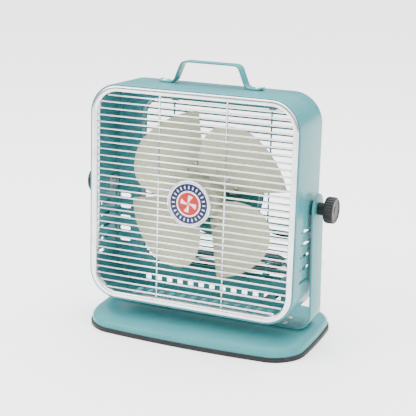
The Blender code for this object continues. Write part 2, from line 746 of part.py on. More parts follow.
def rear_grille(head):
    """Horizontal wires and two posts inside a border wire, with a ring that slips over the motor can."""
    middle = (opening_top + opening_bottom) / 2
    half = (opening_top - opening_bottom) / 2
    y, wires = rear_wire_y, []
    inner, outer = can_radius + gap, can_radius + gap + 0.0024
    for k in range(int(opening_bottom / rear_pitch), int(opening_top / rear_pitch) + 1):
        z = k * rear_pitch
        reach = inner_reach(z - middle, opening_half, half, opening_corner)
        if abs(z) < inner + rear_wire / 2:
            start = sqrt(max(((inner + outer) / 2) ** 2 - z * z, 0.0)) + 0.0001
            wires += [rod("wire", (s * start, y, z), (s * reach, y, z), rear_wire / 2, 5) for s in (-1, 1)]
        else:
            wires.append(rod("wire", (-reach, y, z), (reach, y, z), rear_wire / 2, 5))
    grille = add("rear_grille", merged("rear_grille", wires), enamel(), head, sharp=60)
    post_y = y + rear_wire * 0.8
    posts = [rod("post", (x, post_y, opening_bottom - 0.0006), (x, post_y, opening_top + 0.0006),
                 rear_wire / 2, 5)
             for x in (-rear_post_x, rear_post_x)]
    boolean(grille, cutter("rear_posts", merged("rear_posts", posts), parent=head), "UNION")
    thick = rear_wire / 2
    edge = [(thick * cos(pi / 2.5 * k + 0.3), y + thick * sin(pi / 2.5 * k + 0.3)) for k in range(5)]
    border = ring_in_xz("rear_border", opening_half, half, opening_corner, edge[::-1], 5, middle)
    boolean(grille, cutter("rear_border", border, parent=head), "UNION")
    ring = [(inner, y - thick - 0.0001), (outer, y - thick - 0.0001), (outer, y + thick - 0.0001),
            (inner, y + thick - 0.0001)]
    boolean(grille, cutter("rear_ring", turned("rear_ring", ring, 32), parent=head), "UNION")
    number = 0
    for x in (-rear_post_x, rear_post_x):
        for z, way in ((opening_bottom, -1), (opening_top, 1)):
            number += 1
            low, high = case_sheet + gap, case_sheet + gap + 0.0012
            back = y + rear_wire * 0.8 + thick + gap
            hook = [(0.0120, rear_y + gap), (0.0120, rear_y + gap + 0.0012), (high + 0.0024,
                                                                              rear_y + gap + 0.0012),
                    (high, rear_y + collar_bend + 0.001), (high, back + 0.0012), (-0.0040, back + 0.0012),
                    (-0.0040, back), (low, back), (low, rear_y + collar_bend), (low + 0.0030, rear_y + gap)]
            verts = [(x + s * 0.0060, b, z + way * a) for s in (-1, 1) for a, b in hook]
            total = len(hook)
            faces = [tuple(range(total)), tuple(range(2 * total - 1, total - 1, -1))]
            faces += [(i, (i + 1) % total, total + (i + 1) % total, total + i) for i in range(total)]
            add(f"grille_clip_{number}", mesh_from("grille_clip", verts, faces), dark_steel(), head)


def handle(head):
    """A flat strap bent up into a grip, its two feet screwed to the top of the case."""
    level = half_h + gap + handle_sheet / 2
    top = half_h + handle_rise - handle_sheet / 2
    foot, toe, knee = handle_feet / 2, handle_feet / 2 - 0.0040, handle_feet / 2 - handle_knee
    grip = handle_span / 2
    right = [(foot, level + 0.0022), (toe, level), (knee, level), (grip - handle_sheet / 2, top)]
    corners = right + [(-x, z) for x, z in right[::-1]]
    radii = [0.003, 0.006, 0.006, 0.006, 0.006, 0.003]
    path = filleted(corners, radii, 4)
    widths = []
    for here in path:
        from_tip = foot - abs(here.x)
        widths.append(handle_width * (0.72 if from_tip < 0.001 else 0.92 if from_tip < 0.003 else 1.0))
    made = add("handle", strap("handle", path, widths, handle_sheet, handle_y), enamel(), head)
    cuts = [moved(along_z(turned("hole", [(0, -0.01), (0.0016 + hole_gap, -0.01), (0.0016 + hole_gap, 0.01),
                                          (0, 0.01)], 12)), (s * handle_screw_x, handle_y + t * 0.0045,
                                                             level))
            for s in (-1, 1) for t in (-1, 1)]
    boolean(made, cutter("handle_holes", merged("handle_holes", cuts), parent=head))
    number = 0
    for s in (-1, 1):
        for t in (-1, 1):
            number += 1
            screw(f"handle_screw_{number}",
                  (s * handle_screw_x, handle_y + t * 0.0045, half_h + gap + handle_sheet + gap), (pi / 2,
                                                                                                   0, 0),
                  0.0032, 0.0020, 0.0016, 0.0080, head)


def pivots(head):
    """On each side: a bolt fixed in the case, its backing plate, a fibre washer and the clamp knob."""
    for side, word in ((-1, "left"), (1, "right")):
        turn = (0, 0, 0) if side > 0 else (0, 0, pi)
        flats = [(0, -0.0045), (0.0068, -0.0045), (0.0068, 0), (bolt_radius, 0)]
        inside = half_w - case_sheet - gap - 0.0016 - gap
        tip = arm_outer + neck_length - 0.0015 - inside
        bolt = along_x(turned("pivot_bolt", flats + [(bolt_radius, tip), (0, tip)], 24))
        add(f"pivot_bolt_{word}", bolt, steel(), head, (side * inside, 0, 0), turn)
        plate = box("pivot_plate", (inside + gap, -0.0110, -0.0110), (inside + gap + 0.0016, 0.0110,
                                                                      0.0110))
        moved(plate, turn=turn)
        backing = add(f"pivot_plate_{word}", plate, steel(), head)
        hole = moved(along_x(turned("hole", [(0, -0.01), (bolt_radius + hole_gap, -0.01),
                                             (bolt_radius + hole_gap, 0.01), (0,
                                                                              0.01)], 16)), (side * half_w, 0, 0))
        boolean(backing, cutter(f"plate_hole_{word}", hole, parent=head))
        ring = [(bolt_radius + hole_gap, 0), (0.0110, 0), (0.0110, yoke_gap - 2 * gap),
                (bolt_radius + hole_gap, yoke_gap - 2 * gap)]
        add(f"pivot_washer_{word}", along_x(turned("pivot_washer", ring, 16)), black_rubber(), head,
            (side * (half_w + gap), 0, 0), turn)


def knobs():
    """Fluted clamp knobs, each threaded on its bolt outside the yoke's arm."""
    flutes = 16
    for side, word in ((-1, "left"), (1, "right")):
        turn = (0, 0, -pi / 2) if side > 0 else (0, 0, pi / 2)
        axis = empty(f"knob_axis_{word}", (side * (arm_outer + gap), 0, pivot_height), turn)
        neck = [(bolt_radius + 0.0004, 0), (neck_radius, 0), (neck_radius, neck_length + 0.001),
                (bolt_radius + 0.0004, neck_length + 0.001)]
        points, faces = [], []
        levels = [(0.86, neck_length), (1.0, neck_length + 0.0020), (1.0,
                                                                     neck_length + knob_length - 0.0026),
                  (0.90, neck_length + knob_length)]
        around = flutes * 3
        for share, y in levels:
            for k in range(around):
                angle = 2 * pi * k / around
                dip = (0.93, 1.0, 1.0)[k % 3]
                radius = knob_radius * min(share, dip if share == 1.0 else share * (0.5 + dip / 2))
                points.append((radius * cos(angle), y, radius * sin(angle)))
        for a in range(len(levels) - 1):
            faces += [(a * around + k, a * around + (k + 1) % around, (a + 1) * around + (k + 1) % around,
                       (a + 1) * around + k) for k in range(around)]
        faces += [tuple(range(around)), tuple(range(len(levels) * around - 1,
                                                    (len(levels) - 1) * around - 1, -1))]
        knob = add(f"knob_{word}", mesh_from("knob", points, faces), black_plastic(), axis)
        boolean(knob, cutter(f"knob_neck_{word}", turned("neck", [
            (0, 0), (neck_radius, 0), (neck_radius, neck_length + 0.001), (0, neck_length + 0.001)], 24),
            parent=axis), "UNION")
        boolean(knob, cutter(f"knob_bore_{word}", turned("bore", [
            (0, -0.004), (bolt_radius + pivot_gap, -0.004), (bolt_radius + pivot_gap, neck_length + 0.002),
            (0, neck_length + 0.002)], 24), parent=axis))


# ---------------------------------------------------------------- the motor and the fan
def blade_mesh():
    """One paddle: a straight edge at the back, a rounded corner at the front, with a gentle twist."""
    across, along = 14, 7
    points = []
    for k in range(across):
        share = k / (across - 1)
        angle = blade_sweep * share
        past = max(angle - blade_round_from, 0.0) / (blade_sweep - blade_round_from)
        tip = fan_radius - blade_tip_drop * past**3.4
        for i in range(along):
            reach = i / (along - 1)
            radius = hub_radius + 0.0055 + (tip - hub_radius - 0.0055) * reach
            y = blade_rear + (blade_front - blade_rear) * share
            y -= 0.0035 * sin(pi * share) * reach
            points.append((radius * cos(angle), y, radius * sin(angle)))
    front = [(x, y, z) for x, y, z in points]
    back = [(x, y + blade_sheet, z) for x, y, z in points]
    faces, total = [], len(points)
    for k in range(across - 1):
        for i in range(along - 1):
            a, b = k * along + i, (k + 1) * along + i
            faces.append((a, a + 1, b + 1, b))
            faces.append((total + a, total + b, total + b + 1, total + a + 1))
    edge = [k * along for k in range(across)] + [(across - 1) * along + i for i in range(1, along)]
    edge += [k * along + along - 1 for k in range(across - 2, -1, -1)] + [i for i in range(along - 2, 0,
                                                                                           -1)]
    faces += [(a, b, total + b, total + a) for a, b in zip(edge, edge[1:] + edge[:1])]
    return mesh_from("blade", front + back, faces)


def fan(head):
    axis = empty("fan_axis", (0, 0, 0), parent=head)
    blade = blade_mesh()
    for k in range(fan_blades):
        add(f"blade_{k + 1}", blade, cream(), axis, turn=(0, -(blade_start + 2 * pi * k / fan_blades), 0),
            sharp=50)
    hub_front, hub_rear = -0.0440, -0.0080
    cup = [(0, hub_front), (hub_radius - 0.004, hub_front), (hub_radius - 0.001, hub_front + 0.002),
           (hub_radius, hub_front + 0.005), (hub_radius, hub_rear), (hub_radius - 0.0015, hub_rear),
           (hub_radius - 0.0015, hub_front + 0.006), (hub_radius - 0.004, hub_front + 0.0030),
           (0.0090, hub_front + 0.0030), (0.0090, -0.0120), (0, -0.0120)]
    hub = add("hub", turned("hub", cup, 32), cream(), axis)
    bore = turned("bore", [(0, hub_front - 0.01), (shaft_radius + 0.0001, hub_front - 0.01),
                           (shaft_radius + 0.0001, 0.0), (0, 0.0)], 24)
    boolean(hub, cutter("hub_bore", bore, parent=axis))
    thread = (shaft_radius + gap) / cos(pi / 6)
    nut = [(thread, hub_front - 0.0050), (0.0068, hub_front - 0.0050), (0.0076, hub_front - 0.0042),
           (0.0076, hub_front - gap), (thread, hub_front - gap)]
    add("hub_nut", turned("hub_nut", nut, 6), steel(), axis, sharp=20)
    pin = [(0, hub_front - 0.0070), (shaft_radius - 0.0006, hub_front - 0.0070), (shaft_radius,
                                                                                  hub_front - 0.0064),
           (shaft_radius, can_back - 0.0060), (0, can_back - 0.0060)]
    add("motor_shaft", turned("motor_shaft", pin, 24), steel(), axis)
    core = [(shaft_radius + 0.0001, stator_front), (0.0245, stator_front), (0.0245, stator_back),
            (shaft_radius + 0.0001, stator_back)]
    add("rotor_core", turned("rotor_core", core, 24), dark_steel(), axis)


stator_front, stator_back = 0.0315, 0.0395


def motor(head):
    """A flat motor in a round can: two end bells with bushes, and the wound stator between them."""
    wall, bush, sheet = 0.0015, 0.0075, case_sheet
    start = can_split + 0.0005
    end = can_back - sheet - 0.0018
    front = [(bush + 0.0001, boss_front), (0.0110, boss_front), (0.0120, boss_front + 0.001), (0.0120,
                                                                                               start),
             (motor_radius - 0.003, start), (motor_radius, start + 0.002), (motor_radius,
                                                                            stator_front - gap),
             (motor_radius - wall, stator_front - gap), (motor_radius - wall, start + 0.003),
             (motor_radius - 0.004, start + wall), (0.0100, start + wall), (0.0100, boss_front + 0.0080),
             (bush + 0.0001, boss_front + 0.0080)]
    add("motor_bell_front", turned("motor_bell_front", front, 24), dark_steel(), head)
    rear = [(bush + 0.0001, end), (bush + 0.0001, end - 0.0045), (0.0115, end - 0.0045), (0.0125,
                                                                                          end - 0.0015),
            (motor_radius - wall, end - 0.0015), (motor_radius - wall, stator_back + gap),
            (motor_radius, stator_back + gap), (motor_radius, end)]
    add("motor_bell_rear", turned("motor_bell_rear", rear, 24), dark_steel(), head)
    iron = [(0.0250, stator_front), (0.0250, stator_back), (0.0280, stator_back), (0.0285,
                                                                                   stator_back + 0.0030),
            (0.0370, stator_back + 0.0030), (0.0375, stator_back), (motor_radius, stator_back),
            (motor_radius, stator_front), (0.0375, stator_front), (0.0370, stator_front - 0.0030),
            (0.0285, stator_front - 0.0030), (0.0280, stator_front)]
    add("motor_stator", turned("motor_stator", iron, 24), dark_steel(), head)
    for word, low, high in (("front", boss_front, boss_front + 0.0080), ("rear", end - 0.0045, end)):
        ring = [(shaft_radius + bearing_gap, low), (bush - gap, low), (bush - gap, high),
                (shaft_radius + bearing_gap, high)]
        add(f"bush_{word}", turned(f"bush_{word}", ring, 24), brass(), head)
    lid = [(0.0120 + gap, can_front), (0.0500, can_front), (0.0620, can_front + 0.0004),
           (can_radius - 0.0030, can_front + 0.0016),
           (can_radius, can_front + 0.0050), (can_radius, collar_end - 0.0060), (can_radius + can_bead,
                                                                                 collar_end - 0.0045),
           (can_radius + can_bead, collar_end - 0.0030), (can_radius, collar_end - 0.0015),
           (can_radius, rear_wire_y + rear_wire / 2 + 0.0004), (can_radius - sheet,
                                                                rear_wire_y + rear_wire / 2 + 0.0004),
           (can_radius - sheet, can_front + 0.0058), (can_radius - 0.0040, can_front + 0.0028),
           (0.0620, can_front + 0.0004 + sheet), (0.0500, can_front + sheet), (0.0120 + gap,
                                                                               can_front + sheet)]
    add("motor_plate", turned("motor_plate", lid, 32), enamel(), head)
    join = rear_wire_y + rear_wire / 2 + 0.0004 + gap
    can = [(can_radius, join), (can_radius, can_back - 0.006), (can_radius - 0.0020, can_back - 0.002),
           (can_radius - 0.006, can_back), (0, can_back), (0, can_back - sheet), (can_radius - 0.0065,
                                                                                  can_back - sheet),
           (can_radius - 0.0031, can_back - 0.0030), (can_radius - sheet,
                                                      can_back - 0.0064), (can_radius - sheet, join)]
    cover = add("motor_cover", turned("motor_cover", can, 32), enamel(), head)
    cuts = [turned("hole", [(0, can_back - 0.01), (0.0048, can_back - 0.01), (0.0048, can_back + 0.01),
                            (0, can_back + 0.01)], 16),
            turned("hole", [(0, can_back - 0.01), (grommet_radius + gap, can_back - 0.01),
                            (grommet_radius + gap, can_back + 0.01), (0, can_back + 0.01)], 16)]
    moved(cuts[0], (0, 0, switch_z))
    moved(cuts[1], (exit_x, 0, exit_z))
    boolean(cover, cutter("cover_cuts", merged("cover_cuts", cuts), parent=head))
    body = box("capacitor", (-0.0640, can_split + 0.003, -0.0130), (-0.0460, can_back - 0.004, 0.0130))
    add("capacitor", body, paint("grey_plastic", (0.3, 0.3, 0.31), 0.5), head)


switch_z = -0.0535
exit_x, exit_z = 0.0440, -0.0375   # where the lead leaves the back of the can


def speed_switch(head):
    deep = can_back
    body = [(0, deep - 0.018), (0.0090, deep - 0.018), (0.0090, deep - case_sheet - gap),
            (0.0044, deep - case_sheet - gap), (0.0044, deep + 0.0006), (0.0022, deep + 0.0006),
            (0.0022, deep + 0.0100), (0, deep + 0.0100)]
    add("speed_switch", turned("speed_switch", body, 20), paint("grey_plastic", (0.3, 0.3, 0.31), 0.5),
        head,
        (0, 0, switch_z))
    axis = empty("speed_axis", (0, deep + 0.0010, switch_z), parent=head)
    knob = [(0, 0.0140), (0.0085, 0.0140), (0.0100, 0.0125), (0.0110, 0.0), (0.00229, 0.0), (0.00229,
                                                                                             0.0105),
            (0, 0.0105)]
    made = add("speed_knob", turned("speed_knob", knob, 28), black_plastic(), axis)
    grip = box("grip", (-0.0020, 0.0130, -0.0080), (0.0020, 0.0175, 0.0105))
    boolean(made, cutter("speed_grip", grip, parent=axis), "UNION")


lead_route = [
    (0.0480, 0.0670, 0.1610), (0.0590, 0.0710, 0.1475), (0.0740, 0.0720, 0.1390), (0.0890, 0.0720, 0.1365),
    (0.1050, 0.0710, 0.1365), (0.1190, 0.0715, 0.1290), (0.1270, 0.0730, 0.1090), (0.1260, 0.0720, 0.0850),
    (0.1150, 0.0660, 0.0630), (0.0990, 0.0550, 0.0490), (0.0880, 0.0475, 0.0400), (0.0850, 0.0460, 0.0300),
    (0.0850, 0.0460, 0.0190),
]


def lead(head):
    """The flexible lead from the foot up to the motor cover, with a grommet at each end."""
    body = [(lead_radius + gap + 0.0001, -0.0050), (grommet_radius + 0.0014, -0.0050),
            (grommet_radius + 0.0014, -0.0020),
            (grommet_radius, -0.0020), (grommet_radius, 0.0004), (grommet_radius + 0.0016, 0.0008),
            (grommet_radius + 0.0006, 0.0042), (lead_radius + gap + 0.0001, 0.0042)]
    add("lead_grommet_cover", turned("lead_grommet", body, 12), black_rubber(), head, (exit_x, can_back,
                                                                                       exit_z))
    low = turned("lead_grommet", body, 12)
    add("lead_grommet_base", along_z(low), black_rubber(), None, (lead_x, lead_y, foot_height))
    leave = Matrix.Translation((0, 0, pivot_height)) @ Matrix.Rotation(-tilt_at_rest, 4, "X")
    start = [tuple(leave @ Vector((exit_x, can_back + along, exit_z))) for along in (-0.0060, 0.0030,
                                                                                     0.0100)]
    tube("head_lead", smooth_curve(start + lead_route, 0.0062), lead_radius, black_rubber(), None, 2)


clear_scene()
head_axis = empty("head_axis", (0, 0, pivot_height), (-tilt_at_rest, 0, 0))
foot()
yoke()
cord()
case(head_axis)
rear_panel(head_axis)
front_trim(head_axis)
front_grille(head_axis)
badge(head_axis)
rear_grille(head_axis)
handle(head_axis)
pivots(head_axis)
knobs()
fan(head_axis)
motor(head_axis)
speed_switch(head_axis)
lead(head_axis)
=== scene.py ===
import json
from math import atan2, cos, degrees, pi, radians, sin, sqrt

import bmesh
import bpy
import numpy as np
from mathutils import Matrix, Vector


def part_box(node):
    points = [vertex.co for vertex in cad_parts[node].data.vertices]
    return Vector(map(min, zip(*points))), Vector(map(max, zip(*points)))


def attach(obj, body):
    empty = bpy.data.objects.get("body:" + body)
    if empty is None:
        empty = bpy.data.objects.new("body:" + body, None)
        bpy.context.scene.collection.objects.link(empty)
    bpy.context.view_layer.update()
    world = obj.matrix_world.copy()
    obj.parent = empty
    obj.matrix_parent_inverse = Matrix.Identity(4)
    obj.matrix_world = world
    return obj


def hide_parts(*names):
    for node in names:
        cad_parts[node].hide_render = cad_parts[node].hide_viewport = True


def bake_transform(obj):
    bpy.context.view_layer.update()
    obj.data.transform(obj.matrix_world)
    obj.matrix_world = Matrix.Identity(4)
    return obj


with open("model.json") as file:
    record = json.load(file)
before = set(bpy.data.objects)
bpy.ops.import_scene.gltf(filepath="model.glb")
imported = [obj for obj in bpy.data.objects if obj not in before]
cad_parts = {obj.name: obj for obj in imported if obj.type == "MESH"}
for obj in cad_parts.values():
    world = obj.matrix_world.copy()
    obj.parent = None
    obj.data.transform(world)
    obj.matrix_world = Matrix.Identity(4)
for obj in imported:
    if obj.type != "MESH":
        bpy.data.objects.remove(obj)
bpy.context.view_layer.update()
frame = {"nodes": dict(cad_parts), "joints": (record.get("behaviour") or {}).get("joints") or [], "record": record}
joints = {joint["name"]: joint for joint in frame["joints"]}
pivotZ = joints["head_tilt"]["pos_m"][2]
spinAxis = joints["fan_spin"]["axis"]
tilt = atan2(-spinAxis[2], spinAxis[1])      # the head leans back by this at rest
print("frame loaded, head leans back", round(degrees(tilt), 2), "degrees")

# the head's own axes: y along the shaft, z up the case, from the tilt axis
headTurn = np.array([[1, 0, 0], [0, cos(tilt), sin(tilt)], [0, -sin(tilt), cos(tilt)]])

square = ((-1, -1), (1, -1), (1, 1), (-1, 1))     # a rectangle's corners, in order
gap = 0.0003     # between pieces that touch


def fromHead(p):
    # head point to world: turned by the lean, then lifted to the tilt axis
    return np.asarray(p, float) @ headTurn.T + (0, 0, pivotZ)


def headBox(node):
    # lowest and highest corners of a CAD node in the head's own axes
    vertices = frame["nodes"][node].data.vertices
    co = np.empty(len(vertices) * 3, np.float32)
    vertices.foreach_get("co", co)
    own = (co.reshape(-1, 3) - (0, 0, pivotZ)) @ headTurn
    return own.min(0), own.max(0)


def placed(name, data):
    # a new object in the scene
    made = bpy.data.objects.new(name, data)
    bpy.context.scene.collection.objects.link(made)
    return made


# ---- shaders


class Flow:
    # one socket in a material, with sums that add Math nodes to its tree
    def __init__(self, paint, socket):
        self.paint = paint
        self.socket = socket

    def op(self, how, other=None, swap=False, clamp=False):
        pair = [self] if other is None else [other, self] if swap else [self, other]
        return self.paint.node("ShaderNodeMath", dict(operation=how, use_clamp=clamp), pair)

    def __add__(self, other):
        return self.op("ADD", other)

    __radd__ = __add__

    def __mul__(self, other):
        return self.op("MULTIPLY", other)

    __rmul__ = __mul__

    def __sub__(self, other):
        return self.op("SUBTRACT", other)

    def __rsub__(self, other):
        return self.op("SUBTRACT", other, swap=True)

    def __pow__(self, other):
        return self.op("POWER", other)

    def __abs__(self):
        return self.op("ABSOLUTE")

    def clamped(self):
        return self.op("ADD", 0.0, clamp=True)

    def ease(self, low, high):
        # 0 below low, 1 above high, and smooth between
        return self.paint.node("ShaderNodeMapRange", dict(interpolation_type="SMOOTHSTEP", clamp=True),
                               {"Value": self, "From Min": low, "From Max": high}, "Result")


class Paint:
    # a Principled material and its node tree
    def __init__(self, name, slot, **fixed):
        self.material = bpy.data.materials.new(name)
        self.material.use_nodes = True
        self.tree = self.material.node_tree
        self.shader = self.tree.nodes["Principled BSDF"]
        self.slot = slot
        self.place = self.node("ShaderNodeTexCoord", {}, {}, "Object")
        for socket, value in fixed.items():
            self.shader.inputs[socket.replace("_", " ")].default_value = value

    def feed(self, socket, value):
        if isinstance(value, Flow):
            self.tree.links.new(value.socket, socket)
        elif isinstance(value, tuple) and socket.type == "RGBA":
            socket.default_value = (*value, 1.0)
        else:
            socket.default_value = value

    def node(self, kind, settings, inputs, output=0):
        made = self.tree.nodes.new(kind)
        for key, value in settings.items():
            setattr(made, key, value)
        named = inputs.items() if isinstance(inputs, dict) else enumerate(inputs)
        for key, value in named:
            self.feed(made.inputs[key], value)
        return Flow(self, made.outputs[output])

    def axes(self):
        split = self.tree.nodes.new("ShaderNodeSeparateXYZ")
        self.feed(split.inputs[0], self.place)
        return [Flow(self, out) for out in split.outputs]

    def stretched(self, scale, turn=(0.0, 0.0, 0.0)):
        return self.node("ShaderNodeMapping", {}, {"Vector": self.place, "Scale": scale, "Rotation": turn})

    def noise(self, scale, detail=3.0, rough=0.5, at=None):
        inputs = {"Vector": at or self.place, "Scale": scale, "Detail": detail, "Roughness": rough}
        return self.node("ShaderNodeTexNoise", {}, inputs, "Fac")

    def cells(self, scale):
        return self.node("ShaderNodeTexVoronoi", {}, {"Vector": self.place, "Scale": scale}, "Distance")

    def mix(self, share, a, b):
        made = self.tree.nodes.new("ShaderNodeMix")
        made.data_type = "RGBA"
        sockets = [s for s in made.inputs if s.enabled]
        for socket, value in zip(sockets, (share, a, b)):
            self.feed(socket, value)
        return Flow(self, next(s for s in made.outputs if s.enabled))

    def bump(self, height, strength, distance, onto=None):
        inputs = {"Height": height, "Strength": strength, "Distance": distance}
        if onto:
            inputs["Normal"] = onto
        return self.node("ShaderNodeBump", {}, inputs)

    def finish(self, **sockets):
        for name, value in sockets.items():
            self.feed(self.shader.inputs[name.replace("_", " ")], value)
        return self


def scratches(paint, angle, density, width):
    # thin streaks: noise drawn out along one direction and kept only near its middle value
    drawn = paint.noise(density, 2.0, 0.5, paint.stretched((1.0, 1.0, 14.0), (angle, angle * 0.6, 0.3)))
    return 1 - abs(drawn - 0.5).ease(0.0, width)


def enamelPaint(name, slot, tone, shade, gloss, coat):
    # glossy stoved enamel: faint orange peel, cloudy tone, fine polishing marks and a little dust
    paint = Paint(name, slot, Coat_Weight=coat, Coat_Roughness=0.06, Specular_IOR_Level=0.12)
    cloud = paint.noise(16.0, 3.0, 0.55)
    fleck = paint.noise(900.0, 2.0, 0.6)
    marks = scratches(paint, 0.9, 160.0, 0.012) * paint.noise(22.0, 2.0).ease(0.45, 0.7)
    colour = paint.mix(cloud.ease(0.3, 0.7), shade, tone)
    colour = paint.mix(fleck.ease(0.62, 0.8) * 0.10, colour, (0.75, 0.84, 0.84))
    roughness = gloss + cloud * 0.10 + marks * 0.16 + fleck.ease(0.5, 0.9) * 0.08
    peel = paint.bump(paint.noise(420.0, 1.5, 0.4), 0.05, 0.0006)
    grain = paint.bump(fleck + marks * -1.2, 0.04, 0.0002, peel)
    return paint.finish(Base_Color=colour, Roughness=roughness.clamped(), Normal=grain)


def platedPaint(name, slot, tone, cloudy, gloss):
    # bright plating over steel wire: soft cloudiness, tiny pits and handling marks
    paint = Paint(name, slot)
    cloud = paint.noise(38.0, 4.0, 0.6)
    pits = paint.cells(1500.0).ease(0.02, 0.12)
    marks = scratches(paint, 0.2, 260.0, 0.02)
    colour = paint.mix(cloud.ease(0.35, 0.7), tone, cloudy)
    colour = paint.mix((1 - pits) * 0.25, colour, (0.32, 0.31, 0.30))
    roughness = gloss + cloud * 0.12 + marks * 0.10 + (1 - pits) * 0.2
    height = paint.bump(pits + paint.noise(300.0, 2.0) * 0.4, 0.06, 0.0002)
    return paint.finish(Base_Color=colour, Metallic=0.92 - (1 - pits) * 0.3, Roughness=roughness.clamped(),
                        Normal=height)


def mouldedPaint(name, slot, tone, worn, gloss, grainScale):
    # moulded plastic or rubber: fine pitted skin, rubbed patches and settled dust
    paint = Paint(name, slot, Specular_IOR_Level=0.3)
    skin = paint.noise(grainScale, 3.0, 0.6)
    rub = paint.noise(60.0, 4.0, 0.6)
    dust = paint.noise(210.0, 5.0, 0.7).ease(0.58, 0.82)
    colour = paint.mix(rub.ease(0.45, 0.75) * 0.8, tone, worn)
    colour = paint.mix(dust * 0.18, colour, (0.33, 0.32, 0.30))
    roughness = gloss + rub * 0.16 - skin * 0.08 + dust * 0.15
    return paint.finish(Base_Color=colour, Roughness=roughness.clamped(),
                        Normal=paint.bump(skin, 0.18, 0.0002))


def brushedPaint(name, slot, tone, dark, gloss):
    # bare or zinc-plated metal with drawn-out grain and a few dull spots
    paint = Paint(name, slot)
    grain = paint.noise(320.0, 3.0, 0.6, paint.stretched((1.0, 1.0, 30.0)))
    spots = paint.noise(140.0, 4.0, 0.65).ease(0.52, 0.72)
    colour = paint.mix(grain.ease(0.3, 0.7) * 0.5, tone, dark)
    colour = paint.mix(spots * 0.4, colour, dark)
    roughness = gloss + grain * 0.18 + spots * 0.2
    return paint.finish(Base_Color=colour, Metallic=1.0 - spots * 0.35, Roughness=roughness.clamped(),
                        Normal=paint.bump(grain, 0.12, 0.0002))


def grey(tone):
    return (tone, tone, tone)


enamel = enamelPaint("tealEnamel", "teal_enamel", (0.060, 0.255, 0.275), (0.052, 0.232, 0.252), 0.20, 0.06)
bladeEnamel = enamelPaint("creamEnamel", "cream_enamel", (0.520, 0.530, 0.385), (0.455, 0.465, 0.330), 0.42,
                          0.0)
plating = platedPaint("brightPlating", "bright_plating", (0.82, 0.83, 0.86), (0.70, 0.71, 0.75), 0.11)
zinc = brushedPaint("zincSteel", "zinc_steel", (0.66, 0.67, 0.69), (0.42, 0.43, 0.45), 0.26)
darkSteel = brushedPaint("darkSteel", "dark_steel", (0.11, 0.11, 0.12), (0.05, 0.05, 0.055), 0.42)
bronze = brushedPaint("bronzeBush", "bronze_bush", (0.62, 0.43, 0.22), (0.40, 0.26, 0.12), 0.30)
blackPlastic = mouldedPaint("blackPlastic", "black_plastic", grey(0.010), grey(0.020), 0.36, 1400.0)
rubber = mouldedPaint("blackRubber", "black_rubber", grey(0.008), grey(0.016), 0.50, 1100.0)
greyPlastic = mouldedPaint("greyPlastic", "grey_plastic", (0.30, 0.30, 0.31), (0.24, 0.24, 0.25), 0.45, 900.0)

knobPlastic = mouldedPaint("knobPlastic", "black_plastic", grey(0.008), grey(0.016), 0.36, 1500.0)
rivetSteel = brushedPaint("rivetSteel", "cream_enamel", (0.62, 0.62, 0.60), (0.30, 0.29, 0.26), 0.18)

badge = dict(radius=0.0345, band=(0.0192, 0.0296), tickBand=(0.0222, 0.0266), ticks=24.0, disc=0.0168,
             vanes=4.0, vaneBend=95.0, navy=(0.004, 0.009, 0.055), red=(0.420, 0.0005, 0.004))


def badgePaint():
    # rings round the badge's middle: white edge, navy band with ticks, white line, red disc with a propeller
    paint = Paint("badgeEnamelPaint", "badge_enamel", Coat_Weight=0.15, Coat_Roughness=0.05,
                  Specular_IOR_Level=0.25)
    x, y, z = paint.axes()
    up = y * sin(tilt) + (z - pivotZ) * cos(tilt)
    far = (x * x + up * up) ** 0.5
    angle = up.op("ARCTAN2", x)
    soft = 0.00018

    def beyond(radius):
        return far.ease(radius - soft, radius + soft)

    def within(low, high):
        return beyond(low) * (1 - beyond(high))

    navyBand = within(*badge["band"])
    ticks = (angle * badge["ticks"]).op("COSINE").ease(0.60, 0.72) * within(*badge["tickBand"])
    disc = 1 - beyond(badge["disc"])
    wave = (angle * badge["vanes"] + far * badge["vaneBend"]).op("COSINE")
    vanes = wave.ease(0.30, 0.42) * far.ease(0.0030, 0.0034) * (1 - far.ease(0.0124, 0.0128))
    ring = far.ease(0.0016, 0.0019) * (1 - far.ease(0.0024, 0.0027))
    cloud = paint.noise(60.0, 3.0)
    colour = paint.mix(cloud, (0.66, 0.67, 0.70), (0.74, 0.75, 0.77))
    colour = paint.mix(navyBand * (1 - ticks), colour, badge["navy"])
    colour = paint.mix(disc * (1 - (vanes + ring).clamped()), colour, badge["red"])
    height = (navyBand * (1 - ticks) + disc) * -1.0
    return paint.finish(Base_Color=colour, Roughness=0.16 + cloud * 0.10,
                        Normal=paint.bump(height + paint.noise(700.0, 2.0) * 0.1, 0.25, 0.0003))


badgeEnamel = badgePaint()

carried = {
    "teal_enamel": enamel, "cream_enamel": bladeEnamel, "bright_plating": plating, "zinc_steel": zinc,
    "dark_steel": darkSteel, "bronze_bush": bronze, "black_plastic": blackPlastic, "black_rubber": rubber,
    "grey_plastic": greyPlastic, "badge_enamel": badgeEnamel,
}
for part in frame["record"]["subparts"]:
    held = frame["nodes"][part["node"]]
    held.data.materials.clear()
    held.data.materials.append(carried[part["material_slot"]].material)
print("materials made")

# ---- camera, floor and light

view = dict(azimuth=24.598, elevation=17.4245, place=(0.7036, -1.5415, 0.7203), lens=102.33)


def setCamera():
    data = bpy.data.cameras.new("camera")
    data.lens = view["lens"]
    data.sensor_width = 36.0
    data.clip_start = 0.05
    camera = placed("camera", data)
    camera.location = view["place"]
    camera.rotation_euler = (radians(90 - view["elevation"]), 0, radians(view["azimuth"]))
    bpy.context.scene.camera = camera


studio = dict(sky=3.2, horizon=0.35, key=34.0, fill=0.5, top=52.0, glow=0.55)


